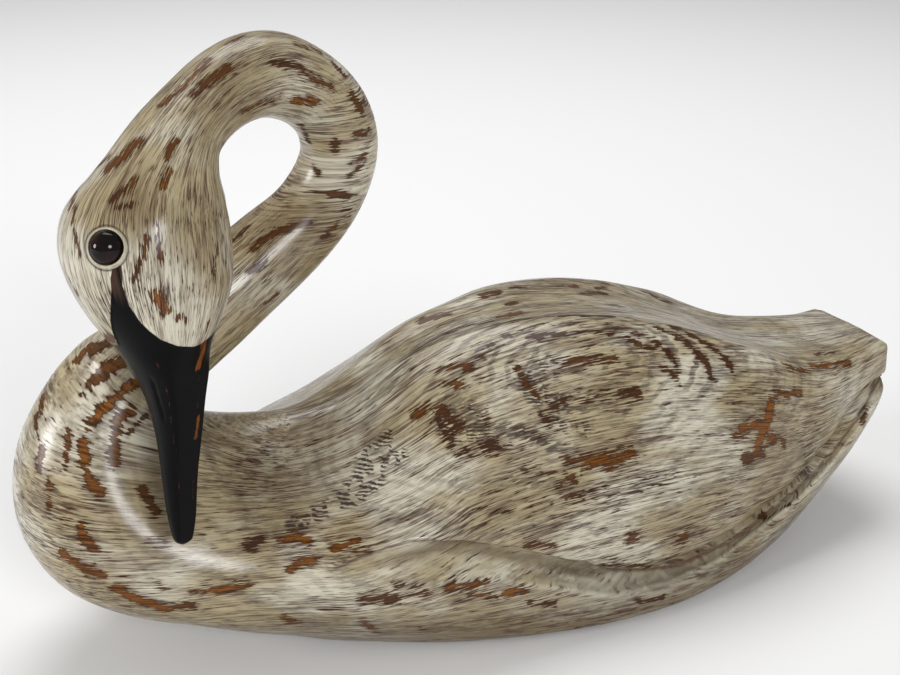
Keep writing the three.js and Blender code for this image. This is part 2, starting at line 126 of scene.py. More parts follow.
# %% Round the solid into smooth wood
WELD = 0.01 * MM
QUAD_FLATNESS = math.radians(60)
QUAD_SKEW = math.radians(120)
CRISP_ANGLE = math.radians(50)
WOOD_CREASE = 0.35
ROUNDINGS = 2


def only(piece):
    """Selects one object and makes it the active one."""
    bpy.ops.object.select_all(action="DESELECT")
    piece.select_set(True)
    bpy.context.view_layer.objects.active = piece


def rounded_copy(node_name, piece_name, crease):
    """A welded copy of a CAD node, rounded with a subdivision surface."""
    piece = bpy.data.objects.new(piece_name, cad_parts[node_name].data.copy())
    bpy.context.scene.collection.objects.link(piece)
    only(piece)
    bpy.ops.object.mode_set(mode="EDIT")
    bpy.ops.mesh.select_all(action="SELECT")
    bpy.ops.mesh.remove_doubles(threshold=WELD)
    bpy.ops.mesh.tris_convert_to_quads(face_threshold=QUAD_FLATNESS, shape_threshold=QUAD_SKEW)
    bpy.ops.mesh.select_all(action="DESELECT")
    bpy.ops.mesh.edges_select_sharp(sharpness=CRISP_ANGLE)
    bpy.ops.transform.edge_crease(value=crease)
    bpy.ops.object.mode_set(mode="OBJECT")
    smoother = piece.modifiers.new("rounding", "SUBSURF")
    smoother.levels = ROUNDINGS
    smoother.render_levels = ROUNDINGS
    bpy.ops.object.modifier_apply(modifier=smoother.name)
    return piece


swan = rounded_copy("swan", "swan_carving", WOOD_CREASE)
print("Rounded swan:", len(swan.data.polygons), "faces")

# %% [markdown]
# Sculpting in code means moving each corner of the mesh by a rule. These helpers read the corners
# into number arrays, in millimetres, and write them back. Spreading a value to its neighbours
# many times blurs it, and the step from a corner to its blurred place tells how hollow the wood
# is there.

# %% Helpers that read and blur the mesh


def read_corners(mesh, what):
    """Places or normals of all corners, one row each."""
    flat = np.empty(len(mesh.vertices) * 3)
    mesh.vertices.foreach_get(what, flat)
    return flat.reshape(-1, 3)


def read_edges(mesh):
    """The two corners of each edge."""
    pairs = np.empty(len(mesh.edges) * 2, dtype=np.int32)
    mesh.edges.foreach_get("vertices", pairs)
    return pairs.reshape(-1, 2)


def spread(values, pairs, passes):
    """Blurs a value on the corners by averaging each with its neighbours."""
    columns = values.reshape(len(values), -1)
    starts = np.concatenate([pairs[:, 0], pairs[:, 1]])
    ends = np.concatenate([pairs[:, 1], pairs[:, 0]])
    neighbours = np.bincount(starts, minlength=len(values))[:, None]
    for _ in range(passes):
        sums = [np.bincount(starts, column[ends], len(values)) for column in columns.T]
        columns = (columns + np.stack(sums, axis=1) / neighbours) / 2
    return columns.reshape(values.shape)


def hollowness(mesh, passes):
    """How far the wood is sunk below its blurred shape, in millimetres. Ridges come out negative."""
    points = read_corners(mesh, "co") / MM
    away = spread(points, read_edges(mesh), passes) - points
    return np.einsum("ij,ij->i", away, read_corners(mesh, "normal"))


# %% [markdown]
# More helpers: a soft bump, a soft step, a smooth noise for whatever a hand leaves uneven, and a
# cut of chosen faces into four, for places that need finer corners.

# %% Helpers that shape the mesh
NOISE_OFFSET = Vector((17.3, 5.1, 11.7))


def bell(values, width):
    """1 where the values are 0, falling softly to both sides."""
    return np.exp(-(values / width) ** 2)


def ramp(values, low, high):
    """Rises smoothly from 0 at low to 1 at high."""
    share = np.clip((values - low) / (high - low), 0, 1)
    return share * share * (3 - 2 * share)


def ripple(points, size, seed):
    """Smooth noise between about -1 and 1, with bumps of a given size in millimetres."""
    return np.array([noise.noise(Vector(p / size) + NOISE_OFFSET * seed) for p in points]) * 2


def split_faces(piece, chosen_corners):
    """Cuts every face whose corners are all chosen into four."""
    only(piece)
    bpy.ops.object.mode_set(mode="EDIT")
    bpy.ops.mesh.select_mode(type="FACE")
    bpy.ops.mesh.select_all(action="DESELECT")
    bpy.ops.object.mode_set(mode="OBJECT")
    faces = piece.data.polygons
    faces.foreach_set("select", [all(chosen_corners[i] for i in face.vertices) for face in faces])
    bpy.ops.object.mode_set(mode="EDIT")
    bpy.ops.mesh.subdivide(number_cuts=1)
    bpy.ops.object.mode_set(mode="OBJECT")


# %% [markdown]
# Marks are read off the photograph as places and lines. A ray from the camera through each place
# finds the wood behind it, and from then on the mark is a line of corners in space.

# %% Carry places from the photograph to the wood
CORNER_SPACING = 3.5
TINY = 1e-9

wood_tree = BVHTree.FromObject(swan, bpy.context.evaluated_depsgraph_get())


def on_wood(places):
    """Places on the swan, in millimetres, under places in the photograph. Misses are left out."""
    hits = [wood_tree.ray_cast(camera_place, photo_ray(*place))[0] for place in places]
    return np.array([hit for hit in hits if hit is not None]) / MM


def photo_line(places):
    """Corners on the wood, at even steps along a line drawn in the photograph."""
    places = np.array(places, float)
    lengths = np.concatenate([[0], np.cumsum(np.linalg.norm(np.diff(places, axis=0), axis=1))])
    steps = np.linspace(0, lengths[-1], 2 + int(lengths[-1] / CORNER_SPACING))
    return on_wood(np.column_stack([np.interp(steps, lengths, side) for side in places.T]))


def far_from_line(points, corners):
    """Distance of each point to a line through corners in space."""
    nearest = np.full(len(points), np.inf)
    for start, end in zip(corners[:-1], corners[1:]):
        edge = end - start
        share = np.clip((points - start) @ edge / max(edge.dot(edge), TINY), 0, 1)
        nearest = np.minimum(nearest, np.linalg.norm(points - start - share[:, None] * edge, axis=1))
    return nearest


# %% [markdown]
# The brush and the grain follow the neck round its loop and down the head. This is the middle
# line of the neck, head and bill, the same line as in the solid. Two directions across it are
# carried along the line, so that they turn with it and never twist.

# %% Draw the middle line of the neck
NECK_LINE = [
    (-199, 0, 107), (-167, 0, 148), (-117, 3, 184), (-91, 3, 203), (-78, 0, 228), (-82, -6, 249),
    (-98, -12, 266), (-121, -22, 275), (-142, -30, 270), (-158, -38, 259), (-170, -45, 246),
    (-179, -49, 233), (-181, -55, 203), (-179, -62, 172), (-177, -68, 138), (-180, -73, 103),
    (-181, -74, 88),
]
NECK_STEP = 1.5
LINE_PASSES = 30


def resample(line, step):
    """Points at even steps along a line of corners, slightly rounded at the corners."""
    corners = np.array(line, float)
    lengths = np.concatenate([[0], np.cumsum(np.linalg.norm(np.diff(corners, axis=0), axis=1))])
    places = np.arange(0, lengths[-1], step)
    even = np.stack([np.interp(places, lengths, corners[:, n]) for n in range(3)], axis=1)
    for _ in range(LINE_PASSES):
        even[1:-1] = (even[:-2] + 2 * even[1:-1] + even[2:]) / 4
    return even


def carried_frames(line):
    """The way along the line and two directions across it, carried along it without twisting."""
    tangents = np.gradient(line, axis=0)
    tangents /= np.linalg.norm(tangents, axis=1)[:, None]
    across = [np.array([0.0, 1.0, 0.0])]
    for tangent in tangents[1:]:
        kept = across[-1] - tangent * across[-1].dot(tangent)
        across.append(kept / np.linalg.norm(kept))
    across = np.array(across)
    return tangents, across, np.cross(tangents, across)


neck_points = resample(NECK_LINE, NECK_STEP)
neck_onward, neck_across, neck_up = carried_frames(neck_points)
neck_tree = KDTree(len(neck_points))
for index, point in enumerate(neck_points):
    neck_tree.insert(Vector(point), index)
neck_tree.balance()
neck_length = len(neck_points) * NECK_STEP
print("The neck, head and bill measure", round(neck_length), "mm along their middle line")

# %% [markdown]
# Each corner of the neck and head gets its own coordinates: how far along the neck it is, and
# where it lies across it. The bill hangs close to the breast, so what counts as neck is kept
# within a reach of the middle line that narrows along the bill.

# %% Measure along the neck
NECK_ROOT = (25, 62)
REACH_PLACES = (0, 345, 372, 400, 440, 480)
REACHES = (46, 46, 38, 24, 15, 11)
REACH_EDGE = (0.82, 1.0)


def along_neck(points):
    """Distance along the neck, the step away from its middle line, and two parts of that step."""
    found = np.array([neck_tree.find(Vector(p))[1] for p in points])
    step = points - neck_points[found]
    onward, *parts = [
        np.einsum("ij,ij->i", step, side[found]) for side in (neck_onward, neck_across, neck_up)
    ]
    distance = found * NECK_STEP + np.clip(onward, -NECK_STEP / 2, NECK_STEP / 2)
    return distance, step, np.stack(parts, axis=1)


def neck_share(distance, step):
    """1 on the neck and head, 0 on the body, with a soft change at the root of the neck."""
    reach = np.interp(distance, REACH_PLACES, REACHES)
    close = 1 - ramp(np.linalg.norm(step, axis=1) / reach, *REACH_EDGE)
    return ramp(distance, *NECK_ROOT) * close


places = read_corners(swan.data, "co") / MM
distance, step, _ = along_neck(places)
on_neck = neck_share(distance, step)
print(round(100 * on_neck.mean()), "percent of the corners belong to the neck, head and bill")

# %% [markdown]
# Sandpaper goes over the breast longest, because it meets the eye first. The round of the breast
# runs into the hollow under the bill with no ridge between them. Sanding is a blur of the shape,
# held to a strip along the ridge. The bill hangs close by, so the neck, head and bill are kept out.

# %% Sand the ridge of the breast
BREAST_RIDGE = [(112, 385), (108, 440), (118, 490), (150, 535), (200, 566), (255, 582)]
SANDED_STRIP = (12, 42)
SANDED_NECK = (0.0, 0.3)
SANDING_PASSES = 130

strip = 1 - ramp(far_from_line(places, photo_line(BREAST_RIDGE)), *SANDED_STRIP)
strip *= 1 - ramp(on_neck, *SANDED_NECK)
sanded = spread(places, read_edges(swan.data), SANDING_PASSES) - places
sanded = sanded * strip[:, None]
swan.data.vertices.foreach_set("co", ((places + sanded) * MM).ravel())
swan.data.update()
wood_tree = BVHTree.FromObject(swan, bpy.context.evaluated_depsgraph_get())
print("Sanding moved the breast by up to", round(np.linalg.norm(sanded, axis=1).max(), 1), "mm")

# %% [markdown]
# The bill is painted black, and the black runs up in a narrow wedge to the eye. On the real swan
# the edge of the black is crisp and slightly cut in, so the feathers of the forehead stand proud
# of the bill. The edge is read off the photograph on the side that it shows and unrolled about
# the head, as distance along the head and distance round from the crown. Both sides of the head
# use the same edge, so the hidden side matches.

# %% Draw the edge of the black paint
CROWN = np.array([0.469, -0.872, 0.146])
FOREHEAD_EDGE = [
    (121, 264), (123, 286), (130, 306), (141, 322), (150, 331), (162, 340), (178, 346), (193, 347),
]
LORE_EDGE = [
    (107.5, 265), (110.5, 278), (111.5, 290), (110.5, 309), (110.5, 322), (112.5, 332), (118, 345),
]
# The outline of the black is closed well past the crown, the throat and the tip.
PAST_CROWN = -5
PAST_THROAT = 200
PAST_TIP = 50
THROAT_DROP = 4
FAR_OUTSIDE = -50
# More than this share of neck counts as neck.
MOSTLY_NECK = 0.5


def unroll(points):
    """Distance along the head, and distance round it from the crown, of each point."""
    distance, step, _ = along_neck(points)
    side = np.cross(CROWN, [0, 0, 1])
    side /= np.linalg.norm(side)
    angle = np.abs(np.arctan2(step @ side, step @ CROWN))
    return np.stack([distance, angle * np.linalg.norm(step, axis=1)], axis=1)


def paint_outline():
    """Corners of the black area, unrolled: forehead edge, lore edge, throat and bill tip."""
    forehead = unroll(on_wood(FOREHEAD_EDGE))
    lore = unroll(on_wood(LORE_EDGE))
    crown_end = [forehead[-1][0], PAST_CROWN]
    throat = [lore[-1][0] + THROAT_DROP, PAST_THROAT]
    tip = [[neck_length + PAST_TIP, side] for side in (PAST_THROAT, PAST_CROWN)]
    return np.array([crown_end, *forehead[::-1], *lore, throat, *tip])


def signed_distance(points, outline):
    """Distance of flat points to a closed outline, positive inside it."""
    nearest = far_from_line(points, np.vstack([outline, outline[:1]]))
    inside = np.zeros(len(points), bool)
    for start, end in zip(outline, np.roll(outline, -1, axis=0)):
        edge = end - start
        crosses = (start[1] > points[:, 1]) != (end[1] > points[:, 1])
        rise = edge[1] if edge[1] else 1
        inside ^= crosses & (points[:, 0] < edge[0] * (points[:, 1] - start[1]) / rise + start[0])
    return np.where(inside, nearest, -nearest)


black_outline = paint_outline()


def black_depth(points, on_neck):
    """How far inside the black paint each point is, in millimetres, and far outside it on the body."""
    return np.where(on_neck > MOSTLY_NECK, signed_distance(unroll(points), black_outline), FAR_OUTSIDE)


print("The black starts", round(neck_length - black_outline[:, 0].min()), "mm above the bill's tip")

# %% [markdown]
# The glass eyes are copies of their solids, rounded the same way. The flat back of each solid is
# its largest face that lies in one plane, so it gives the way the eye looks.

# %% Round the glass eyes
EYE_CREASE = 1.0
EYE_SMOOTH_ANGLE = math.radians(40)


def eye_seat(node_name):
    """Middle of an eye and the way it looks, from the flat back of its solid."""
    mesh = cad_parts[node_name].data
    areas = {}
    for face in mesh.polygons:
        facing = tuple(round(c, 2) for c in face.normal)
        areas[facing] = areas.get(facing, 0) + face.area
    back = Vector(max(areas, key=areas.get)).normalized()
    low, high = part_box(node_name)
    return np.array((low + high) / 2) / MM, -np.array(back)


eye_seats = [eye_seat("eye_right"), eye_seat("eye_left")]
eyes = [rounded_copy("eye_right", "glass_eye_right", EYE_CREASE)]
eyes.append(rounded_copy("eye_left", "glass_eye_left", EYE_CREASE))
for eye in eyes:
    only(eye)
    bpy.ops.object.shade_smooth_by_angle(angle=EYE_SMOOTH_ANGLE)
print("The right eye looks toward", [round(c, 2) for c in eye_seats[0][1]])

# %% [markdown]
# The whitewash is rubbed through in patches. On the real swan they are strokes of brown and rust
# with ragged ends along the grain. Each stroke here is a line through places in the photograph,
# laid onto the wood by the camera's rays, so it stays on the wood from every side. The lists hold
# only strokes that stand out from a step away. Noise in the material does the rest.

# %% List the strokes that are rubbed through
# Each stroke: half its width in millimetres, how rusty it is, and its places in the photograph.
HEAD_STROKES = [
    (2.9, 0.4, [(108, 168), (122, 157), (137, 142)]), (1.9, 0.4, [(87, 177), (98, 166), (108, 157)]),
    (1.9, 0.5, [(70, 207), (76, 193), (84, 181)]), (1.3, 0.4, [(72, 222), (75, 207)]),
    (1.0, 0.3, [(73, 231), (79, 254)]), (1.5, 0.2, [(112, 200), (124, 189)]),
    (1.4, 0.5, [(128, 194), (136, 179)]), (1.1, 0.1, [(117, 207), (133, 203)]),
    (1.4, 0.9, [(162, 185), (171, 170)]), (1.6, 0.3, [(166, 157), (176, 141)]),
    (0.9, 0.5, [(157, 219), (161, 257)]), (1.3, 0.4, [(147, 238), (143, 257)]),
    (1.3, 0.2, [(140, 259), (134, 279)]), (2.2, 1.0, [(156, 294), (166, 311)]),
    (1.5, 0.6, [(179, 316), (184, 319)]), (0.9, 0.3, [(216, 246), (214, 275)]),
    (0.8, 0.5, [(209, 322), (207, 331)]), (0.8, 0.2, [(70, 280), (77, 293)]),
]
NECK_STROKES = [
    (1.6, 0.7, [(161, 105), (178, 90), (209, 60)]), (1.4, 0.4, [(192, 95), (203, 86)]),
    (2.4, 0.3, [(203, 84), (216, 76), (228, 68)]), (1.0, 0.3, [(228, 44), (242, 37)]),
    (1.7, 0.1, [(272, 62), (294, 65)]), (1.5, 0.5, [(296, 67), (313, 77), (334, 88)]),
    (1.4, 0.4, [(297, 45), (306, 47)]), (1.3, 0.4, [(313, 48), (321, 52)]),
    (1.4, 0.3, [(333, 62), (344, 74)]), (1.9, 0.4, [(353, 94), (362, 112)]),
    (1.6, 0.4, [(356, 135), (369, 130)]), (1.7, 0.6, [(351, 163), (365, 155)]),
    (1.5, 0.5, [(349, 175), (360, 169)]), (1.8, 0.3, [(332, 195), (348, 196)]),
    (2.1, 1.0, [(295, 101), (316, 102)]), (1.1, 0.6, [(242, 112), (262, 104), (280, 98)]),
    (1.9, 0.3, [(336, 140), (335, 150)]), (1.4, 0.0, [(301, 126), (308, 142)]),
    (1.6, 0.0, [(313, 165), (318, 172)]), (1.8, 0.2, [(252, 249), (264, 240), (278, 231), (308, 223)]),
    (1.5, 0.1, [(249, 272), (266, 262)]), (1.2, 0.4, [(266, 303), (278, 294)]),
    (1.4, 0.0, [(234, 240), (249, 226)]), (1.3, 0.4, [(323, 237), (337, 224)]),
]
BREAST_STROKES = [
    (2.3, 1.0, [(87, 428), (97, 416), (113, 400), (136, 381)]),
    (2.9, 0.5, [(114, 460), (115, 440), (118, 416), (131, 411)]), (1.1, 0.3, [(128, 434), (152, 408)]),
    (2.9, 0.8, [(83, 443), (85, 462)]), (1.8, 0.6, [(67, 431), (68, 446)]),
    (1.4, 0.5, [(66, 452), (66, 463)]), (1.5, 0.5, [(43, 395), (40, 411)]),
    (1.3, 0.4, [(36, 415), (34, 428)]), (1.9, 0.6, [(41, 449), (38, 468)]),
    (1.4, 0.6, [(48, 478), (49, 510)]), (1.7, 0.7, [(87, 469), (88, 478)]),
    (2.9, 0.6, [(91, 482), (100, 491)]), (2.2, 0.2, [(143, 490), (155, 512)]),
    (2.7, 0.8, [(81, 528), (84, 538), (93, 547)]), (2.2, 0.8, [(62, 553), (82, 566), (103, 575)]),
    (3.1, 0.8, [(117, 588), (140, 600), (166, 609)]), (2.4, 0.3, [(175, 607), (191, 605)]),
    (1.4, 0.8, [(193, 592), (204, 591)]), (2.4, 1.0, [(212, 591), (227, 589)]),
    (1.8, 0.6, [(238, 587), (251, 584)]), (1.2, 0.8, [(157, 585), (164, 588)]),
    (2.4, 0.5, [(76, 361), (90, 346)]), (2.8, 0.3, [(94, 350), (112, 338)]),
    (3.4, 0.4, [(95, 380), (105, 368), (131, 361)]), (2.0, 0.2, [(150, 540), (165, 542)]),
    (2.3, 0.0, [(248, 547), (261, 540)]), (2.2, 0.9, [(276, 541), (293, 536), (309, 541)]),
    (2.2, 0.7, [(289, 571), (301, 562), (315, 561)]), (2.2, 0.8, [(283, 617), (296, 622)]),
]
WING_STROKES = [
    (1.8, 0.3, [(421, 321), (448, 314)]), (2.2, 0.3, [(482, 296), (500, 292)]),
    (2.2, 0.8, [(498, 317), (519, 313)]), (0.8, 0.2, [(446, 334), (470, 325), (492, 321)]),
    (2.0, 0.3, [(581, 294), (604, 293)]), (1.6, 0.2, [(512, 288), (525, 287)]),
    (1.5, 0.5, [(565, 287), (577, 286)]), (1.4, 0.3, [(597, 289), (607, 286)]),
    (1.5, 0.2, [(507, 305), (517, 303)]), (1.6, 0.2, [(654, 297), (671, 303)]),
    (1.3, 0.5, [(607, 305), (617, 305)]), (1.6, 0.7, [(434, 376), (450, 367), (468, 364)]),
    (1.9, 0.6, [(414, 415), (438, 399), (461, 382)]), (2.6, 0.1, [(441, 410), (455, 424), (465, 414)]),
    (2.0, 0.0, [(453, 450), (475, 443), (498, 447)]), (1.6, 0.1, [(474, 410), (486, 417)]),
    (1.9, 0.3, [(517, 366), (524, 380), (538, 399)]), (1.7, 1.0, [(553, 396), (575, 399)]),
    (2.0, 0.4, [(540, 373), (576, 362), (616, 360)]), (1.9, 0.2, [(634, 342), (660, 352)]),
    (1.8, 0.2, [(662, 366), (676, 377)]), (1.7, 0.0, [(543, 420), (574, 427), (594, 421)]),
    (2.4, 0.9, [(566, 462), (597, 460), (633, 457)]), (2.4, 0.5, [(513, 478), (545, 473), (574, 479)]),
    (1.4, 0.3, [(556, 493), (584, 498)]), (1.9, 0.9, [(774, 396), (801, 393)]),
    (3.3, 1.0, [(771, 403), (767, 424), (757, 446)]), (2.8, 0.9, [(734, 431), (752, 426), (768, 425)]),
    (2.6, 0.3, [(744, 459), (762, 452)]), (2.1, 0.7, [(768, 438), (785, 442)]),
    (1.3, 0.7, [(787, 367), (809, 371)]), (1.6, 0.9, [(812, 367), (850, 363)]),
    (1.2, 0.3, [(815, 354), (833, 352)]), (1.8, 0.5, [(628, 538), (660, 541), (686, 538)]),
    (1.2, 0.3, [(600, 564), (648, 566)]), (1.1, 0.3, [(760, 517), (796, 502)]),
    (1.9, 0.7, [(333, 549), (357, 541)]), (1.3, 0.6, [(351, 553), (369, 551)]),
    (1.3, 0.5, [(526, 545), (556, 545)]), (1.5, 0.5, [(866, 405), (862, 424)]),
    (1.6, 0.0, [(496, 324), (519, 319), (547, 316), (574, 315), (602, 316), (630, 318)]),
    (1.9, 0.1, [(671, 326), (682, 330), (698, 339), (714, 349), (726, 359), (732, 369)]),
    (1.9, 0.1, [(655, 327), (671, 334), (687, 343), (698, 354), (706, 362), (709, 371), (714, 382)]),
    (1.6, 0.1, [(629, 331), (648, 337), (660, 345), (672, 357), (677, 366)]),
    (1.5, 0.1, [(529, 339), (547, 336), (574, 334), (597, 333), (620, 336), (634, 341)]),
    (1.6, 0.1, [(462, 378), (476, 362), (487, 348), (503, 337), (525, 328), (549, 324)]),
    (1.6, 0.2, [(547, 408), (574, 402), (602, 401), (620, 397), (639, 392)]),
    (1.5, 0.0, [(439, 417), (444, 431), (453, 444), (469, 453)]),
]
FLANK_STROKES = [
    (2.4, 0.8, [(447, 586), (485, 583)]), (1.6, 0.7, [(470, 596), (494, 596)]),
    (2.4, 0.8, [(506, 594), (524, 590)]), (2.4, 0.2, [(361, 599), (396, 598)]),
    (1.3, 0.4, [(394, 587), (424, 585)]), (1.2, 0.6, [(405, 594), (433, 594)]),
    (2.3, 0.7, [(361, 622), (377, 630)]), (1.7, 0.1, [(530, 604), (554, 604)]),
    (1.2, 0.4, [(421, 629), (434, 628)]), (1.3, 0.2, [(637, 602), (663, 597)]),
]
BILL_STROKES = [
    (0.3, 1.0, [(155, 360), (162, 381), (168, 401), (171, 419), (180, 488)]),
    (1.8, 1.0, [(205, 344), (199, 368)]), (0.6, 1.0, [(200, 378), (199, 408)]),
    (1.4, 1.0, [(199, 419), (197, 437)]), (0.6, 1.0, [(195, 482), (194, 498)]),
]
seen_strokes = HEAD_STROKES + NECK_STROKES + BREAST_STROKES + WING_STROKES + FLANK_STROKES
print(len(seen_strokes), "strokes are listed for the wash and", len(BILL_STROKES), "for the bill")

# %% [markdown]
# The sides that the photograph doesn't show get strokes of the same kind, along the grain,
# scattered by dice that always fall the same way. They keep off the black and off the underside.

# %% Scatter strokes on the hidden sides
HIDDEN_STROKES = 60
HIDDEN_LENGTHS = (4, 22)
HIDDEN_WIDTHS = (1.2, 2.6)
OFF_BLACK = -6
OFF_FLOOR = 6
BODY_GRAIN = np.array([1.0, 0.0, 0.0])
SHORTEST_GRAIN = 0.3
DICE_SEED = 5

dice = np.random.default_rng(DICE_SEED)


def grain_at(corner, on_neck, normal):
    """The way the strokes run at a corner: along the neck on the neck, and along the log elsewhere."""
    grain = BODY_GRAIN
    if on_neck > MOSTLY_NECK:
        grain = neck_onward[neck_tree.find(Vector(corner))[1]]
    grain = grain - normal * grain.dot(normal)
    return grain / max(np.linalg.norm(grain), SHORTEST_GRAIN)


def measure(mesh):
    """What the sculpting and the painting need to know about every corner."""
    points = read_corners(mesh, "co") / MM
    distance, step, parts = along_neck(points)
    on_neck = neck_share(distance, step)
    return points, read_corners(mesh, "normal"), distance, parts, on_neck, black_depth(points, on_neck)


def hidden_lines():
    """Strokes scattered where the photograph shows nothing."""
    points, normals, _, _, on_neck, black = measure(swan.data)
    turned_away = normals @ np.array(toward_camera) < 0
    free = np.flatnonzero(turned_away & (black < OFF_BLACK) & (points[:, 2] > OFF_FLOOR))
    found = []
    for corner in dice.choice(free, HIDDEN_STROKES, replace=False):
        grain = grain_at(points[corner], on_neck[corner], normals[corner])
        half = grain * dice.uniform(*HIDDEN_LENGTHS) / 2
        line = np.array([points[corner] - half, points[corner] + half])
        found.append((line, dice.uniform(*HIDDEN_WIDTHS), dice.uniform(0, 1)))
    return found


hidden_strokes = hidden_lines()
print(len(hidden_strokes), "strokes are scattered")

# %% [markdown]
# A listed stroke becomes a line of corners on the wood, and each corner of the swan learns how
# deep it lies in the nearest one. The thin line down the side of the bill is copied to its far
# side.

# %% Lay the strokes on the wood
# How wide the torn edge of a stroke is, in millimetres.
TORN_EDGE = 1.7
UNRUBBED = -1.0


def to_far_side(corners):
    """The same line on the other side of the head."""
    side = np.cross(CROWN, [0, 0, 1])
    side /= np.linalg.norm(side)
    _, step, _ = along_neck(corners)
    return corners - 2 * (step @ side)[:, None] * side


def laid(strokes):
    """Listed strokes as lines on the wood."""
    lines = [(photo_line(places), half_width, rusty) for half_width, rusty, places in strokes]
    for (line, _, _), stroke in zip(lines, strokes):
        if len(line) < 2:
            print("A stroke lies beside the wood:", stroke)
    return [line for line in lines if len(line[0]) > 1]


wood_strokes = laid(seen_strokes) + hidden_strokes
bill_strokes = laid(BILL_STROKES)
bill_strokes += [(to_far_side(line), half_width, rusty) for line, half_width, rusty in bill_strokes[:1]]


def rubbed(points, strokes):
    """How deep in a rubbed stroke each corner is, in widths of its torn edge, and how rusty it is."""
    depth = np.full(len(points), UNRUBBED)
    rust = np.zeros(len(points))
    for line, half_width, rusty in strokes:
        margin = half_width + 2 * TORN_EDGE
        near = ((points > line.min(axis=0) - margin) & (points < line.max(axis=0) + margin)).all(axis=1)
        near = np.flatnonzero(near)
        value = (half_width - far_from_line(points[near], line)) / TORN_EDGE
        better = value > depth[near]
        depth[near[better]] = value[better]
        rust[near[better]] = rusty
    return depth, rust


print(len(wood_strokes), "strokes are rubbed through the wash, and", len(bill_strokes), "through the black")

# %% [markdown]
# A hollow groove runs along each side under the wing. A knife line cuts the lip of the wing clean
# from the groove, and the lower side of the groove ends in a crisp rim. Both lines are read off
# the near side. A corner of the far side is folded over to the near side before it is measured.

# %% Draw the lip and the rim of the groove
LIP_LINE = [
    (332, 571), (360, 556), (411, 541), (462, 540), (513, 546), (564, 559), (615, 569), (641, 569),
    (679, 564), (730, 540), (786, 497), (828, 458), (861, 410), (880, 376),
]
RIM_LINE = [
    (400, 588), (493, 580), (560, 589), (610, 596), (667, 583), (717, 562), (749, 537), (798, 500),
    (834, 462), (863, 426), (874, 405),
]


def folded(points):
    """The points with those of the far side mirrored to the near side."""
    return np.column_stack([points[:, 0], -np.abs(points[:, 1]), points[:, 2]])


lip = photo_line(LIP_LINE)
rim = photo_line(RIM_LINE)


def above_line(points, line):
    """Distance of folded points to a line along the body, negative below it."""
    height = points[:, 2] - np.interp(points[:, 0], line[:, 0], line[:, 2])
    return np.sign(height) * far_from_line(points, line)


print("The lip is", round(np.linalg.norm(np.diff(lip, axis=0), axis=1).sum()), "mm long on each side")

# %% [markdown]
# Fine marks need fine faces, and the mesh has a limit. So only the places that carry them are
# split again: the strokes, the edge of the black paint, the groove under the wing and the two
# lines that bound it.

# %% Split the faces where fine marks go
EDGE_BAND = 3.0
KNIFE_BAND = 3.5
GROOVE_BLUR = 12
GROOVE_SUNK = 0.5
GROOVE_OUT = 25
HARDLY_NECK = 0.1
NEAR_STROKE = -0.6


def on_flank(points, on_neck):
    """True for the corners of the body that lie well out to either side."""
    return (on_neck < HARDLY_NECK) & (np.abs(points[:, 1]) > GROOVE_OUT)


points, normals, distance, parts, on_neck, black = measure(swan.data)
groove = on_flank(points, on_neck) & (hollowness(swan.data, GROOVE_BLUR) > GROOVE_SUNK)
marked = rubbed(points, wood_strokes + bill_strokes)[0] > NEAR_STROKE
edges = [np.abs(above_line(folded(points), line)) < KNIFE_BAND for line in (lip, rim)]
split_faces(swan, (np.abs(black) < EDGE_BAND) | groove | marked | edges[0] | edges[1])
print("Split swan:", len(swan.data.polygons), "faces")

# %% [markdown]
# Now the knife. The black is set a little below the feathers. The skin wavers slightly, because
# no hand cuts a perfect curve, but the underside stays flat. Short gouge cuts cross the groove
# under the wing.

# %% Set the black back and gouge the groove
STEP_DEPTH = 0.45
STEP_SLOPE = (-0.4, 0.7)
HAND_WAVER = 0.35
WAVER_SIZE = 34
WAVER_SEED = 1
OVER_FLOOR = (2, 8)
CLEAR_OF_BLACK = (0, 6)
GOUGE_SPAN = (-160, 230)
GOUGE_PITCH = 3.4
GOUGE_SHIFT = 0.8
GOUGE_DEPTH = 0.35
GOUGE_BLUR = 24
GOUGE_SUNK = (0.5, 1.6)

points, normals, distance, parts, on_neck, black = measure(swan.data)
move = -STEP_DEPTH * ramp(black, *STEP_SLOPE)
waver = HAND_WAVER * ripple(points, WAVER_SIZE, WAVER_SEED)
move += waver * ramp(points[:, 2], *OVER_FLOOR) * ramp(-black, *CLEAR_OF_BLACK)

cuts = np.arange(*GOUGE_SPAN, GOUGE_PITCH)
cut_depths = dice.uniform(-1, 1, len(cuts))
cuts = cuts + dice.uniform(-GOUGE_SHIFT, GOUGE_SHIFT, len(cuts))
gouges = np.interp(points[:, 0], cuts, cut_depths)
in_groove = ramp(hollowness(swan.data, GOUGE_BLUR), *GOUGE_SUNK) * on_flank(points, on_neck)
move += GOUGE_DEPTH * gouges * in_groove
print(len(cuts), "gouge cuts are spaced along the swan")

# %% [markdown]
# The lip of the folded wing stands proud over a knife line, and the groove below it ends in a
# raised rim with a shallow foot. Each side of the bill has a slit for the nostril.

# %% Cut the lip, the rim and the nostrils
LIP_TURN = (-0.7, 0.7)
LIP_PROUD = 0.5
LIP_UNDERCUT = 1.3
LIP_FADE = 3.5
RIM_PROUD = 0.8
RIM_WIDTH = 1.4
FOOT_DEPTH = 0.5
FOOT_OVER_RIM = 3.5
FOOT_WIDTH = 1.8
NOSTRIL = [(152, 382), (163, 419)]
NOSTRIL_SLOPE = (0.3, 1.1)
NOSTRIL_DEPTH = 0.7
WOOD_SMOOTH_ANGLE = math.radians(60)

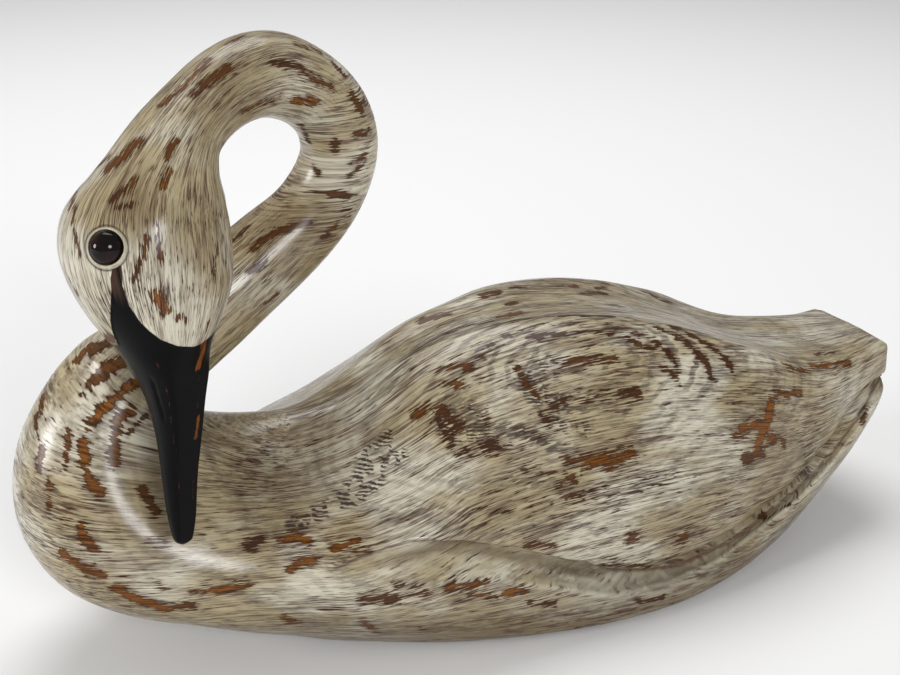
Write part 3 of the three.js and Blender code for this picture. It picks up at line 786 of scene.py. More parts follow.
over_lip = above_line(folded(points), lip)
over_rim = above_line(folded(points), rim)
under = ramp(-over_lip, *LIP_TURN)
move += (LIP_PROUD * (1 - under) - LIP_UNDERCUT * under) * np.exp(-np.abs(over_lip) / LIP_FADE)
move += RIM_PROUD * bell(over_rim, RIM_WIDTH)
move -= FOOT_DEPTH * bell(over_rim - FOOT_OVER_RIM, FOOT_WIDTH)

nostril = photo_line(NOSTRIL)
for line in [nostril, to_far_side(nostril)]:
    move -= NOSTRIL_DEPTH * (1 - ramp(far_from_line(points, line), *NOSTRIL_SLOPE))

swan.data.vertices.foreach_set("co", ((points + normals * move[:, None]) * MM).ravel())
swan.data.update()
only(swan)
bpy.ops.object.shade_smooth_by_angle(angle=WOOD_SMOOTH_ANGLE)
print("The knife moved the skin by", round(move.min(), 2), "to", round(move.max(), 2), "mm")

# %% [markdown]
# Growth rings come from the block itself. They are nested shells in the log, drawn out along the
# grain. The carver cut the top of the wing nearly level with one shell, so there the rings close
# into ovals. Each corner's ring number is its distance from the middle of the ovals, counted in
# long rings along the grain and narrow ones across it, and bent a little by noise. The far wing
# was cut from the same log, so it mirrors the near one.

# %% Number the growth rings
RING_MIDDLE = (592, 366)
RING_LENGTH = 40
RING_WIDTH = 20
# How the noise bends the rings: by how much, the size of its waves, and its seed.
RING_BENDS = [(0.22, 45, 3), (0.08, 16, 4)]
# Each place: x and y in the photograph, reach in millimetres, and how dark the pores are there.
PORE_PLACES = [
    (470, 425, 22, 0.7),
    (555, 395, 26, 0.9),
    (385, 460, 26, 0.45),
    (312, 516, 16, 0.45),
    (530, 440, 26, 0.9),
]
# The same for the thin dark lines that the rings draw where they are cut slantwise.
LINE_PLACES = [
    (690, 350, 30, 1.0),
    (600, 325, 34, 1.0),
    (500, 345, 28, 0.9),
    (640, 400, 26, 0.7),
]
# Narrow bands where the pores show as black dashes, whatever ring is there.
DASHED_PLACES = [
    (390, 443, 8, 1.0), (373, 458, 9, 1.0), (368, 478, 9, 1.0), (352, 494, 8, 1.0), (335, 505, 6, 1.0),
    (316, 514, 5, 1.0), (297, 525, 6, 1.0), (402, 462, 5, 0.8), (445, 412, 6, 1.0), (452, 430, 8, 1.0),
    (478, 408, 6, 1.0), (478, 434, 7, 1.0), (505, 445, 6, 0.8), (522, 374, 6, 1.0), (536, 394, 7, 1.0),
    (550, 368, 7, 0.9), (560, 424, 7, 0.8), (585, 428, 6, 0.8),
]
PORES_ELSEWHERE = 0.3
LINES_ELSEWHERE = 0.25

points, normals, distance, parts, on_neck, black = measure(swan.data)
near_side = folded(points)
ring_step = near_side - on_wood([RING_MIDDLE])[0]
ring = np.hypot(ring_step[:, 0] / RING_LENGTH, np.hypot(ring_step[:, 1], ring_step[:, 2]) / RING_WIDTH)
ring += sum(amount * ripple(points, size, seed) for amount, size, seed in RING_BENDS)


def around(places, elsewhere):
    """Strength of a mark that gathers round some places."""
    strength = np.full(len(points), elsewhere)
    for x, y, reach, most in places:
        away = np.linalg.norm(near_side - on_wood([(x, y)])[0], axis=1)
        strength = np.maximum(strength, most * bell(away, reach))
    return strength


pored = around(PORE_PLACES, PORES_ELSEWHERE) * (1 - on_neck)
dashed = around(DASHED_PLACES, 0) * (1 - on_neck)
lined = around(LINE_PLACES, LINES_ELSEWHERE) * (1 - on_neck)
print("Ring numbers run up to", round(ring.max(), 1))

# %% [markdown]
# Painted shade darkens the hollows, mixed with a tinted glaze: under the lip of the wing, in the
# valley of the back and inside the loop of the neck, and the body is painted darker towards the
# bottom. A wide blur of the shape finds wide hollows, and a narrow one finds the tight ones and the
# ridges that a hand rubs first.

# %% Find the hollows and the ridges
WIDE_BLUR = 90
WIDE_HOLLOW = (0.2, 2.1)
TIGHT_BLUR = 10
TIGHT_HOLLOW = (0.15, 0.8)
TIGHT_SHADE_AND_GLAZE = 0.8
LOW_DARKENING = (3, 46)
LOW_DARKENING_MOST = 0.85
RIDGE = (0.25, 0.9)

wide = hollowness(swan.data, WIDE_BLUR)
tight = hollowness(swan.data, TIGHT_BLUR)
# Painted shade with a tinted glaze, strongest in the wide and the tight hollows.
glaze_and_shade = np.clip(ramp(wide, *WIDE_HOLLOW) + TIGHT_SHADE_AND_GLAZE * ramp(tight, *TIGHT_HOLLOW), 0, 1)
# The colour is painted darker towards the bottom of the body.
glaze_and_shade = np.maximum(glaze_and_shade, LOW_DARKENING_MOST * (1 - ramp(points[:, 2], *LOW_DARKENING)))
ridge = ramp(-tight, *RIDGE)
# The share printed is what painted shade and glaze darken together.
print("The varnish darkens", round(100 * glaze_and_shade.mean()), "percent of the skin")

# %% [markdown]
# The groove between lip and rim kept a clean wash. Under the lip runs a dark line of painted
# shadow with glaze in it, and along the rim a pale line of painted highlight. Round each eye come
# the bead, a dark line at its foot, and the place where the black has faded.

# %% Mark the groove and the eyes
COVE_FROM_LIP = (0.3, 1.2)
COVE_FROM_RIM = (-1.0, 1.0)
COVE_END = (16, 24)
# Where the painted shadow under the lip lies, and how wide it is.
SHADOW_UNDER_LIP = 0.5
LIP_SHADOW_WIDTH = 0.9
# Width of the painted highlight along the rim.
RIM_HIGHLIGHT_WIDTH = 1.1
EYE_SLAB = 8
BEAD_INSIDE = (6.2, 6.6)
BEAD_OUTSIDE = (8.0, 8.3)
EYE_LINE_OUT = 8.5
EYE_LINE_WIDTH = 0.4
FADED_REACH = (14, 26)

over_lip = above_line(near_side, lip)
over_rim = above_line(near_side, rim)
cove = ramp(-over_lip, *COVE_FROM_LIP) * ramp(over_rim, *COVE_FROM_RIM)
cove *= 1 - ramp(-over_lip, *COVE_END)
# Painted shadow under the lip of the wing.
lip_shadow_line = bell(over_lip + SHADOW_UNDER_LIP, LIP_SHADOW_WIDTH)
# Painted highlight along the rim of the groove.
rim_highlight = bell(over_rim, RIM_HIGHLIGHT_WIDTH)

bead = np.zeros(len(points))
eye_line = np.zeros(len(points))
faded = np.zeros(len(points))
for seat, outward in eye_seats:
    step = points - seat
    height = step @ outward
    out = np.linalg.norm(step - height[:, None] * outward, axis=1)
    near = np.abs(height) < EYE_SLAB
    bead = np.maximum(bead, near * ramp(out, *BEAD_INSIDE) * (1 - ramp(out, *BEAD_OUTSIDE)))
    eye_line = np.maximum(eye_line, near * bell(out - EYE_LINE_OUT, EYE_LINE_WIDTH))
    faded = np.maximum(faded, 1 - ramp(np.linalg.norm(step, axis=1), *FADED_REACH))
print("The beads take up", int(bead.sum()), "corners")

# %% [markdown]
# The brush went round the body, fanned out over the breast, and followed the neck. So each corner
# gets two made-up places, for the body and for the neck, in which X runs along the strokes. At
# the back of the loop the log's own grain shows again, across the neck.

# %% Lay the directions of the brush
CROSS_GRAIN_IN = (115, 145)
CROSS_GRAIN_OUT = (205, 235)
CROSSING_FROM = 90
NECK_FLOW = 42
BODY_FLOW = 82
ALL_BODY = 0.05
FLOW_FRONT = -110
SLAB = 15
UNEVEN = 0.12


def flow_round(parts, radius):
    """The steps away from a middle line, all made equally long."""
    return parts / np.linalg.norm(parts, axis=1)[:, None] * radius


def flow_on_body(points, body):
    """Places along and across the strokes that a brush makes round the body and round the breast."""
    slabs = np.arange(FLOW_FRONT, points[:, 0].max(), SLAB)
    sizes = []
    for place in slabs:
        cut = points[body & (np.abs(points[:, 0] - place) < SLAB / 2)]
        low, high = cut.min(axis=0), cut.max(axis=0)
        sizes.append((high[1], (high[2] + low[2]) / 2, (high[2] - low[2]) / 2))
    wide, middle, tall = [np.interp(points[:, 0], slabs, column) for column in np.array(sizes).T]
    reach = FLOW_FRONT - points[:, 0].min()
    forward = np.maximum(FLOW_FRONT - points[:, 0], 0) / reach
    sideways = np.abs(points[:, 1]) / wide
    turned = np.arctan2(forward, sideways) * (reach + sizes[0][0]) / 2
    onward = np.maximum(points[:, 0], FLOW_FRONT) - turned
    parts = np.column_stack([np.hypot(forward, sideways), (points[:, 2] - middle) / tall])
    parts = flow_round(parts, BODY_FLOW)
    return np.column_stack([onward, parts[:, 0] + UNEVEN * points[:, 1], parts[:, 1]])


crossing = ramp(distance, *CROSS_GRAIN_IN) * (1 - ramp(distance, *CROSS_GRAIN_OUT))
round_neck = np.column_stack([distance, flow_round(parts, NECK_FLOW)])
level_rounds = np.column_stack([points[:, 0] + points[:, 1], np.zeros(len(points)), points[:, 2]])
on_loop = (on_neck > MOSTLY_NECK) & (distance > CROSSING_FROM)
round_body = np.where(on_loop[:, None], level_rounds, flow_on_body(points, on_neck < ALL_BODY))
print(int((crossing * on_neck > MOSTLY_NECK).sum()), "corners show the grain across the neck")

# %% [markdown]
# The wash is painted whiter in some places, as whiter paint and as painted highlights, and duller
# in others, as duller paint and as painted shade. Everything that the material has to know about a
# corner is then stored on the mesh as an attribute.

# %% Store the marks on the mesh
# Each place: x and y in the photograph, reach in millimetres, and strength.
# Whiter places: whiter wash, and painted highlights where the lamps shine back from the breast, the cheek
# and the wing.
WHITER_AND_LIT_PLACES = [
    (100, 400, 24, 1.0), (60, 440, 20, 0.7), (72, 240, 20, 0.7), (150, 275, 16, 0.5), (180, 330, 14, 0.6),
    (690, 395, 22, 1.0), (520, 480, 26, 0.6), (380, 480, 22, 0.5), (610, 595, 14, 0.6), (180, 570, 22, 0.7),
]
# Duller places: duller wash, and painted shade where the light doesn't reach, such as under the head and
# inside the loop of the neck.
DULL_AND_SHADED_PLACES = [
    (128, 200, 13, 1.0), (200, 235, 16, 0.6), (290, 230, 28, 1.0), (240, 90, 20, 0.6), (290, 470, 34, 0.8),
    (150, 500, 20, 0.7), (215, 420, 26, 0.6), (780, 450, 30, 0.5), (260, 300, 22, 0.5), (700, 520, 26, 0.4),
]

worn, rust = rubbed(points, wood_strokes)
bill_worn, _ = rubbed(points, bill_strokes)
layers = {
    "neck_grain": on_neck * (1 - crossing),
    "black": black, "worn": worn, "rust": rust, "bill_worn": bill_worn,
    "ring": ring, "pored": pored, "dashed": dashed, "lined": lined,
    "glaze_and_shade": glaze_and_shade, "ridge": ridge, "cove": cove, "lip_shadow_line": lip_shadow_line, "rim_highlight": rim_highlight,
    "bead": bead, "eye_line": eye_line, "faded": faded,
    "whiter_and_lit": around(WHITER_AND_LIT_PLACES, 0), "duller_and_shaded": around(DULL_AND_SHADED_PLACES, 0),
}
vectors = {"neck_place": round_neck, "body_place": round_body}
for name, values in layers.items():
    layer = swan.data.attributes.new(name, "FLOAT", "POINT")
    layer.data.foreach_set("value", values.astype(np.float32))
for name, values in vectors.items():
    layer = swan.data.attributes.new(name, "FLOAT_VECTOR", "POINT")
    layer.data.foreach_set("vector", (values * MM).astype(np.float32).ravel())
print("Stored", len(layers) + len(vectors), "layers on", len(points), "corners")

# %% [markdown]
# A node material is a recipe. This small class keeps the recipe short: each call adds one node
# and gives back its output, and a number or another output can go into any input.

# %% A short way to write node recipes


class Recipe:
    """Adds nodes to a new material and links them."""

    def __init__(self, name):
        self.material = bpy.data.materials.new(name)
        self.material.use_nodes = True
        self.tree = self.material.node_tree
        self.shader = self.tree.nodes["Principled BSDF"]

    def feed(self, socket, value):
        """Links an output to an input, or sets the input's own value."""
        if isinstance(value, bpy.types.NodeSocket):
            self.tree.links.new(value, socket)
        else:
            socket.default_value = (*value, 1) if socket.type == "RGBA" else value

    def node(self, kind, *values):
        """A new node, with its first inputs fed in order."""
        node = self.tree.nodes.new(kind)
        for socket, value in zip(node.inputs, values):
            self.feed(socket, value)
        return node

    def layer(self, name, output="Fac"):
        """One of the layers stored on the mesh."""
        node = self.node("ShaderNodeAttribute")
        node.attribute_name = name
        return node.outputs[output]

    def place(self):
        """Place on the object, in metres."""
        return self.node("ShaderNodeTexCoord").outputs["Object"]

    def height(self):
        """Height on the object, in metres."""
        return self.node("ShaderNodeSeparateXYZ", self.place()).outputs["Z"]

    def math(self, operation, *values):
        """Arithmetic with one, two or three numbers."""
        node = self.node("ShaderNodeMath", *values)
        node.operation = operation
        return node.outputs[0]

    def times(self, first, *others):
        """The product of its numbers."""
        for other in others:
            first = self.math("MULTIPLY", first, other)
        return first

    def add(self, base, value, share):
        """A number with a share of another added to it."""
        return self.math("MULTIPLY_ADD", value, share, base)

    def weaken(self, strength, layer, most):
        """A strength that falls by the share most where a layer is 1."""
        return self.times(strength, self.add(1.0, layer, -most))

    def from_whole(self, value):
        """How far a number is from the nearest whole one."""
        return self.math("PINGPONG", value, 0.5)

    def move(self, operation, a, b):
        """Sum or product of two vectors."""
        node = self.node("ShaderNodeVectorMath", a, b)
        node.operation = operation
        return node.outputs[0]

    def noise(self, place, length, width, detail, roughness=0.55, output="Fac"):
        """Noise drawn out along X: length and width of its marks in millimetres."""
        scales = (1 / (length * MM), 1 / (width * MM), 1 / (width * MM))
        node = self.node("ShaderNodeTexNoise", self.move("MULTIPLY", place, scales))
        for name, value in [("Scale", 1), ("Detail", detail), ("Roughness", roughness)]:
            node.inputs[name].default_value = value
        return node.outputs[output]

    def rise(self, value, low, high):
        """Rises smoothly from 0 at low to 1 at high."""
        node = self.node("ShaderNodeMapRange", value, low, high)
        node.interpolation_type = "SMOOTHSTEP"
        return node.outputs["Result"]

    def between(self, share, a, b):
        """A number between two others."""
        node = self.node("ShaderNodeMix", share)
        self.feed(node.inputs[2], a)
        self.feed(node.inputs[3], b)
        return node.outputs[0]

    def blend(self, share, a, b):
        """A colour between two others."""
        node = self.node("ShaderNodeMix", share)
        node.data_type = "RGBA"
        self.feed(node.inputs[6], a)
        self.feed(node.inputs[7], b)
        return node.outputs[2]


# %% [markdown]
# Every streak is noise drawn out along the strokes of the brush: round the body and the breast,
# and along the neck and head, where the strokes are shorter. So each noise is made twice and
# mixed. The straight lines are bent slightly first, because no grain is straight.

# %% Streaks along the grain
BEND_WAVES = (110, 42, 1.0)
BEND = 6 * MM
NECK_SHORT = 0.62
# Each kind of streak: its length and width in millimetres, then the detail of the noise, and how
# rough it is.
BRUSH = (48, 2.0, 3.0, 0.62)
HAIRS = (14, 0.7, 2.0, 0.5)
SMEARS = (30, 4.0, 4.0, 0.65)
TEARS = (10, 3.4, 3.0, 0.6)
TEETH = (5.5, 0.85, 1.0, 0.5)
PORES = (5.5, 1.3, 1.0, 0.4)
COLUMNS = (4.5, 9, 1.0, 0.4)
# These two lie level and don't follow the grain.
CLOUDS = (60, 36, 2.0)
FLECKS = (46, 22, 3.0)

wash = Recipe("worn_whitewash")
bend = wash.noise(wash.place(), *BEND_WAVES, output="Color")
bend = wash.move("MULTIPLY", bend, (0, BEND, BEND))
body_place = wash.move("ADD", wash.layer("body_place", "Vector"), bend)
neck_place = wash.layer("neck_place", "Vector")
neck_grain = wash.layer("neck_grain")


def streaks(length, width, detail, roughness):
    """Noise drawn out along the grain."""
    on_body = wash.noise(body_place, length, width, detail, roughness)
    along_it = wash.noise(neck_place, NECK_SHORT * length, width, detail, roughness)
    return wash.between(neck_grain, on_body, along_it)


kinds = (BRUSH, HAIRS, SMEARS, TEARS, TEETH, PORES, COLUMNS)
brush, hairs, smears, tears, teeth, pores, columns = [streaks(*kind) for kind in kinds]
clouds = wash.noise(wash.place(), *CLOUDS)
flecks = wash.noise(wash.place(), *FLECKS)

# %% [markdown]
# The wash is a thin cream over brown wood. It is whiter where the brush left more of it and where a
# highlight is painted, and beige or grey where the wood shows through. Painted shade, mixed with a
# tinted glaze, lies over it in the hollows and in the shaded places.

# %% Brush on the wash
WASH_WHITE = (0.62, 0.585, 0.47)
WASH_CREAM = (0.42, 0.355, 0.215)
WASH_THIN = (0.158, 0.106, 0.056)
# The colour of the painted shade and glaze in the hollows and the shaded places.
SHADE_AND_GLAZE_OCHRE = (0.118, 0.080, 0.034)
# How much whiter the painted highlights and whiter wash make it, and how much duller the painted shade and
# duller wash.
WHITER_AND_LIT = 0.22
DULLER_AND_SHADED = 0.16
WHITE_RANGE = (0.42, 0.64)
THIN = 0.62
THIN_WHERE_CLEAN_AND_LIT = 0.40
THIN_WHERE_DULL_AND_SHADED = 0.25
BRUSH_RANGE = (0.40, 0.66)
# Painted shade and glaze in the dull places.
DULL_AND_SHADED_GLAZE = 0.65
SHADE_AND_GLAZE_MOST = 0.86


def coated(colour, coat, *shares):
    """A colour under a coat that is as strong as the product of its shares."""
    return wash.blend(wash.times(*shares), colour, coat)


cove = wash.layer("cove")
duller_and_shaded = wash.layer("duller_and_shaded")
# Painted highlights make the wash whiter and cleaner, and painted shade makes it duller.
clean_and_lit = wash.math("MAXIMUM", wash.layer("whiter_and_lit"), cove)
white_lit_and_shaded = wash.add(wash.add(clouds, wash.layer("whiter_and_lit"), WHITER_AND_LIT), duller_and_shaded, -DULLER_AND_SHADED)
colour = wash.blend(wash.rise(white_lit_and_shaded, *WHITE_RANGE), WASH_CREAM, WASH_WHITE)
thin = wash.add(wash.add(THIN, clean_and_lit, -THIN_WHERE_CLEAN_AND_LIT), duller_and_shaded, THIN_WHERE_DULL_AND_SHADED)
colour = coated(colour, WASH_THIN, wash.rise(brush, *BRUSH_RANGE), thin)
# Painted shade, mixed with glaze, darkens the hollows and the shaded places.
glaze_and_shade = wash.math("MAXIMUM", wash.layer("glaze_and_shade"), wash.times(duller_and_shaded, DULL_AND_SHADED_GLAZE))
colour = coated(colour, SHADE_AND_GLAZE_OCHRE, glaze_and_shade, SHADE_AND_GLAZE_MOST)

# %% [markdown]
# Hair-fine dark lines are the open grain that took the dark glaze, and the broad purple-brown
# smears are glaze that was wiped back. Both are weaker where the wash is clean and where a highlight
# is painted. Under the lip a dark line is painted shadow with glaze in it, and along the rim a pale
# line is a painted highlight.

# %% Wipe the dark glaze over it
SMEAR_BROWN = (0.088, 0.038, 0.024)
HAIR_DARK = (0.034, 0.020, 0.015)
SMEAR_RANGE = (0.50, 0.60)
SMEAR_HAIRS = (0.36, 0.56)
SMEAR_MOST = 0.75
CLEAN_AND_LIT_OF_SMEARS = 0.7
COVE_OF_SMEARS = 0.8
HAIRY_RANGE = (0.42, 0.64)
HAIRS_LEAST = 0.16
HAIRS_MORE = 0.66
CLEAN_AND_LIT_OF_HAIRS = 0.6
LINES_OF_HAIRS = 0.6
COVE_OF_HAIRS = 0.7
HAIR_RANGE = (0.51, 0.60)
LIP_SHADOW_MOST = 0.9
RIM_HIGHLIGHT_MOST = 0.75

smear = wash.times(wash.rise(smears, *SMEAR_RANGE), wash.rise(hairs, *SMEAR_HAIRS))
smear = wash.weaken(wash.weaken(smear, clean_and_lit, CLEAN_AND_LIT_OF_SMEARS), cove, COVE_OF_SMEARS)
colour = coated(colour, SMEAR_BROWN, smear, SMEAR_MOST)
hair_strength = wash.add(HAIRS_LEAST, wash.rise(flecks, *HAIRY_RANGE), HAIRS_MORE)
hair_strength = wash.weaken(hair_strength, clean_and_lit, CLEAN_AND_LIT_OF_HAIRS)
hair_strength = wash.weaken(hair_strength, wash.layer("lined"), LINES_OF_HAIRS)
hair_strength = wash.weaken(hair_strength, cove, COVE_OF_HAIRS)
dark_hairs = wash.times(wash.rise(hairs, *HAIR_RANGE), hair_strength)
colour = coated(colour, HAIR_DARK, dark_hairs)
# A painted shadow, with glaze in it, under the lip.
colour = coated(colour, SMEAR_BROWN, wash.layer("lip_shadow_line"), LIP_SHADOW_MOST)
# A painted highlight along the rim.
colour = coated(colour, WASH_WHITE, wash.layer("rim_highlight"), RIM_HIGHLIGHT_MOST)

# %% [markdown]
# The growth rings come through the wash in three ways. Where a ring lies flat, its pores show as
# short dark marks in a band. In a few narrow bands they stand over one another like the teeth of
# a comb. Where a ring is cut slantwise, it draws thin dark lines.

# %% Let the growth rings show
RING_DARK = (0.026, 0.015, 0.012)
RING_TORN = 0.30
RING_BAND = (0.24, 0.10)
PORE_RANGE = (0.46, 0.51)
# Height from one dark dash to the next, in millimetres.
DASH_PITCH = 1.25
DASH_TORN = 2.0
DASH_RANGE = (0.19, 0.30)
COLUMN_RANGE = (0.45, 0.52)
DASHED_RANGE = (0.25, 0.55)
DASH_MOST = 0.92
LINES_IN_RING = 3.0
LINE_TORN = 0.7
LINE_HAIRS = (0.40, 0.52)
LINE_BROKEN = 0.6
LINE_MOST = 0.9

ring_band = wash.rise(wash.from_whole(wash.add(wash.layer("ring"), tears, RING_TORN)), *RING_BAND)
ring_pores = wash.times(ring_band, wash.rise(pores, *PORE_RANGE), wash.layer("pored"))

dash_number = wash.add(wash.times(wash.height(), 1 / (DASH_PITCH * MM)), tears, DASH_TORN)
dashes = wash.rise(wash.from_whole(dash_number), *DASH_RANGE)
dashes = wash.times(dashes, wash.rise(columns, *COLUMN_RANGE))
dashes = wash.times(dashes, wash.rise(wash.layer("dashed"), *DASHED_RANGE), DASH_MOST)
ring_pores = wash.math("MAXIMUM", ring_pores, dashes)
colour = coated(colour, RING_DARK, ring_pores)

line_number = wash.add(wash.times(tears, LINE_TORN), wash.layer("ring"), LINES_IN_RING)
ring_lines = wash.rise(wash.from_whole(line_number), *RING_BAND)
unbroken = wash.add(1 - LINE_BROKEN, wash.rise(hairs, *LINE_HAIRS), LINE_BROKEN)
colour = coated(colour, RING_DARK, ring_lines, unbroken, wash.layer("lined"), LINE_MOST)

# %% [markdown]
# The rubbed patches are the stored strokes with noise added to their depth, which tears their
# edges along the grain. Away from the strokes the depth is only just below the surface, so the
# noise still breaks through in small flecks. A deep place shows rust, and its torn edge shows
# the darker old glaze.

# %% Rub the wash through
WOOD_BROWN = (0.038, 0.013, 0.004)
WOOD_RUST = (0.215, 0.068, 0.002)
FLECK_RANGE = (0.42, 0.66)
FLECK_DEPTH = (-1.40, -0.66)
RIDGE_WORN = 0.35
COVE_KEPT = 0.9
TEAR = 2.4
TOOTH = 3.6
HAIR_TEAR = 2.6
THINNED_RANGE = (-1.0, 0.1)
THINNED_HAIRS = (0.36, 0.54)
THINNED_MOST = 0.6
THROUGH_RANGE = (-0.15, 0.20)
THROUGH_MOST = 0.95
RUST_RANGE = (0.0, 0.9)
RUST_HAIRS = (0.66, 0.46)

base_depth = wash.between(wash.rise(flecks, *FLECK_RANGE), *FLECK_DEPTH)
base_depth = wash.add(base_depth, wash.layer("ridge"), RIDGE_WORN)
base_depth = wash.add(base_depth, cove, -COVE_KEPT)
torn = wash.add(-(TEAR + TOOTH + HAIR_TEAR) / 2, teeth, TOOTH)
torn = wash.add(wash.add(torn, hairs, HAIR_TEAR), tears, TEAR)
depth = wash.math("ADD", wash.math("MAXIMUM", wash.layer("worn"), base_depth), torn)
rubbed_thin = wash.times(wash.rise(depth, *THINNED_RANGE), wash.rise(hairs, *THINNED_HAIRS))
colour = coated(colour, SMEAR_BROWN, rubbed_thin, THINNED_MOST)
rubbed_through = wash.rise(depth, *THROUGH_RANGE)
rusty = wash.times(wash.rise(depth, *RUST_RANGE), wash.layer("rust"), wash.rise(hairs, *RUST_HAIRS))
wood = wash.blend(rusty, WOOD_BROWN, WOOD_RUST)
colour = coated(colour, wood, rubbed_through, THROUGH_MOST)

# %% [markdown]
# The bead round each eye keeps its cream, with a dark line at its foot. The bill gets black
# paint, and the black has rubbed off the edges of the bill down to orange-brown wood. Near the
# eyes it has faded in streaks.

# %% Paint the bead and the bill
BEAD_CREAM = (0.52, 0.48, 0.36)
BILL_BLACK = (0.0012, 0.0013, 0.0018)
BILL_WOOD = (0.20, 0.058, 0.008)
BILL_FADED = (0.050, 0.029, 0.020)
BEAD_MOST = 0.7
EYE_LINE_MOST = 0.8
PAINT_EDGE = (-0.12, 0.12)
BILL_TEAR = 3.0
NOISE_MIDDLE = 0.5
BILL_RUBBED_RANGE = (0.0, 0.6)
BILL_RUBBED_MOST = 0.8
FADED_BRUSH = (0.60, 0.42)

bead = wash.layer("bead")
colour = coated(colour, BEAD_CREAM, bead, BEAD_MOST)
colour = coated(colour, HAIR_DARK, wash.layer("eye_line"), EYE_LINE_MOST)
black_paint = wash.rise(wash.layer("black"), *PAINT_EDGE)
black_paint = wash.times(black_paint, wash.math("SUBTRACT", 1.0, bead))
bill_torn = wash.math("SUBTRACT", tears, NOISE_MIDDLE)
bill_rubbed = wash.add(wash.layer("bill_worn"), bill_torn, BILL_TEAR)
bill_rubbed = wash.times(wash.rise(bill_rubbed, *BILL_RUBBED_RANGE), BILL_RUBBED_MOST)
faded = wash.times(wash.layer("faded"), wash.rise(brush, *FADED_BRUSH))
bill = wash.blend(faded, BILL_BLACK, BILL_FADED)
bill = wash.blend(bill_rubbed, bill, BILL_WOOD)
colour = wash.blend(black_paint, colour, bill)
wash.feed(wash.shader.inputs["Base Color"], colour)

# %% [markdown]
# Satin varnish covers everything as a coat over a rougher wash. Bare wood has soaked it up, so
# the coat is thinner and duller there, and on the black it is thinnest. The dark marks are
# also slightly sunk, which breaks up the gloss.

# %% Varnish it
WASH_ROUGHNESS = 0.40
WOOD_ROUGHNESS = 0.50
BLACK_ROUGHNESS = 0.23
HAIR_ROUGHNESS = 0.12
WASH_SHINE = 0.04
WASH_COAT = 0.62
WOOD_COAT = 0.30
BLACK_COAT = 0.10
COAT_ROUGHNESS = 0.22
RUBBED_SUNK = 0.6
HAIRS_SUNK = 0.6
PORES_SUNK = 0.5
BRUSH_SUNK = 0.6
BUMP_STRENGTH = 0.5
BUMP_DEPTH = 0.4 * MM
BUMP_ON_BLACK = 0.15

shader = wash.shader.inputs
dullness = wash.between(rubbed_through, WASH_ROUGHNESS, WOOD_ROUGHNESS)
dullness = wash.add(dullness, dark_hairs, HAIR_ROUGHNESS)
wash.feed(shader["Roughness"], wash.between(black_paint, dullness, BLACK_ROUGHNESS))
shader["Specular IOR Level"].default_value = WASH_SHINE
coat = wash.between(rubbed_through, WASH_COAT, WOOD_COAT)
wash.feed(shader["Coat Weight"], wash.between(black_paint, coat, BLACK_COAT))
shader["Coat Roughness"].default_value = COAT_ROUGHNESS

sunk_marks = wash.times(rubbed_through, RUBBED_SUNK)
for mark, share in [(dark_hairs, HAIRS_SUNK), (ring_pores, PORES_SUNK), (brush, BRUSH_SUNK)]:
    sunk_marks = wash.add(sunk_marks, mark, share)
bump = wash.tree.nodes.new("ShaderNodeBump")
bump.inputs["Strength"].default_value = BUMP_STRENGTH
bump.inputs["Distance"].default_value = BUMP_DEPTH
bumps = wash.times(sunk_marks, wash.between(black_paint, -1.0, -BUMP_ON_BLACK))
wash.feed(bump.inputs["Height"], bumps)
wash.feed(shader["Normal"], bump.outputs["Normal"])

swan.data.materials.clear()
swan.data.materials.append(wash.material)
print("The whitewash has", len(wash.tree.nodes), "nodes")

# %% [markdown]
# The eyes are domes of dark glass. Glass this dark shows mostly what it mirrors, so the shader is
# a polished black with warm brown clouds in it.

# %% Pour the glass
GLASS_BLACK = (0.006, 0.004, 0.004)
GLASS_BROWN = (0.034, 0.010, 0.006)
GLASS_CLOUDS = (9, 9, 2.0)
BROWN_RANGE = (0.45, 0.75)
GLASS_ROUGHNESS = (0.03, 0.07)
GLASS_SHINE = 0.2

glass = Recipe("eye_glass")
cloudy = glass.noise(glass.place(), *GLASS_CLOUDS)
glass_colour = glass.blend(glass.rise(cloudy, *BROWN_RANGE), GLASS_BLACK, GLASS_BROWN)
glass.feed(glass.shader.inputs["Base Color"], glass_colour)
glass.feed(glass.shader.inputs["Roughness"], glass.between(cloudy, *GLASS_ROUGHNESS))
glass.shader.inputs["Specular IOR Level"].default_value = GLASS_SHINE
for eye in eyes:
    eye.data.materials.clear()
    eye.data.materials.append(glass.material)

# %% [markdown]
# The new pieces stand for their CAD nodes and ride on the one body of the part.

# %% Hand the pieces over to the frame
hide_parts("swan")
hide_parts("eye_right")
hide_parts("eye_left")
for piece in [swan, *eyes]:
    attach(piece, "root")

# %% [markdown]
# A plain studio: a pale floor, a pale sky that fills the shadows, two round lamps and a wider one
# overhead. The photograph shows the two lamps mirrored in the near eye, so each is put on the ray
# that leaves the camera, meets the glass at its mirror image and bounces off.

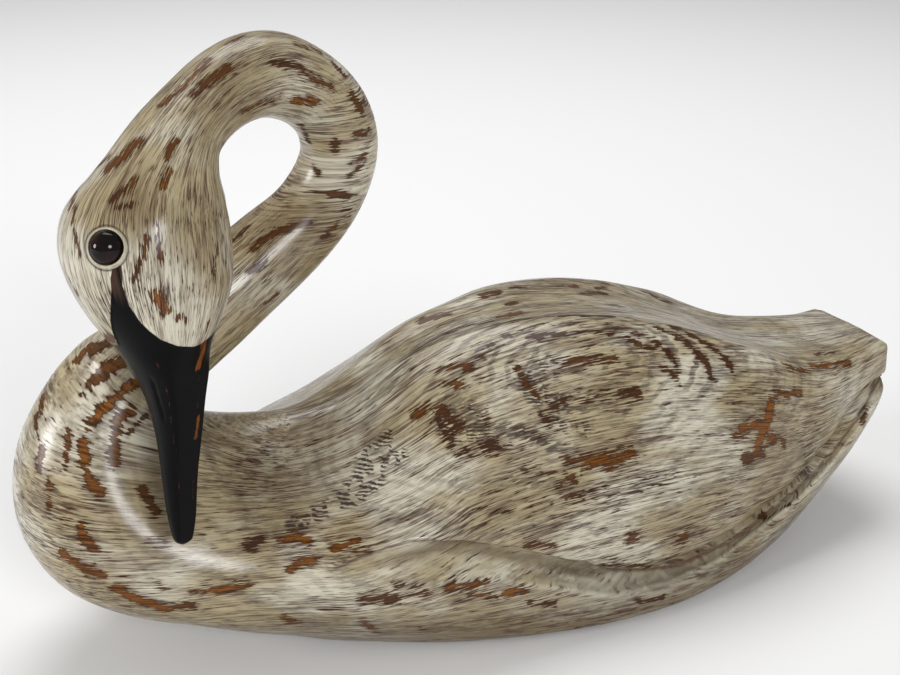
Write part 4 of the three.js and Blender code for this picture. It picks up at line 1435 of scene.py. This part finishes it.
# %% Light the studio
LAMP_MARKS = [(94.5, 246), (109.5, 246.5)]
LAMP_DISTANCE = 3
LAMP_WIDTH = 0.95
LAMP_POWER = 47
SKY_STRENGTH = 0.30
TOP_LAMP = Vector((0.2, 0.9, 2.1))
TOP_WIDTH = 1.6
TOP_POWER = 31
FLOOR_WIDTH = 8
FLOOR_PALE = (0.85, 0.85, 0.85, 1)
FLOOR_ROUGHNESS = 0.9


def disk_lamp(place, width, power):
    """A round lamp that shines straight down."""
    bpy.ops.object.light_add(type="AREA", location=place)
    lamp = bpy.context.object
    lamp.data.shape = "DISK"
    lamp.data.size = width
    lamp.data.energy = power
    return lamp


bpy.ops.object.select_all(action="DESELECT")
bpy.ops.mesh.primitive_plane_add(size=FLOOR_WIDTH, location=(0, 0, 0))
floor = bpy.context.object
floor.name = "floor"
pale = Recipe("pale_floor")
pale.shader.inputs["Base Color"].default_value = FLOOR_PALE
pale.shader.inputs["Roughness"].default_value = FLOOR_ROUGHNESS
floor.data.materials.append(pale.material)
floor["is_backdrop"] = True

eye_tree = BVHTree.FromObject(eyes[0], bpy.context.evaluated_depsgraph_get())
for number, mark in enumerate(LAMP_MARKS):
    ray = photo_ray(*mark)
    glint, glass_normal = eye_tree.ray_cast(camera_place, ray)[:2]
    bounced = ray.reflect(glass_normal)
    print("Lamp", number, "stands toward", [round(c, 2) for c in bounced])
    lamp = disk_lamp(glint + bounced * LAMP_DISTANCE, LAMP_WIDTH, LAMP_POWER)
    lamp.rotation_euler = bounced.to_track_quat("Z", "Y").to_euler()
disk_lamp(TOP_LAMP, TOP_WIDTH, TOP_POWER)

world = bpy.data.worlds.new("studio")
bpy.context.scene.world = world
world.use_nodes = True
sky = world.node_tree.nodes["Background"]
sky.inputs["Color"].default_value = (1, 1, 1, 1)
sky.inputs["Strength"].default_value = SKY_STRENGTH
bpy.context.scene.view_settings.view_transform = "Standard"

# %% [markdown]
# The last cell compares the box of the solid with the box of the finished swan and prints how far
# they differ.

# %% Compare the boxes and finish
visual_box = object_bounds()
sides = zip([*visual_box[0], *visual_box[1]], [*cad_box[0], *cad_box[1]])
grown = [round((v - c) / MM, 1) for v, c in sides]
print("The finished box differs from the solid's by", grown, "mm")
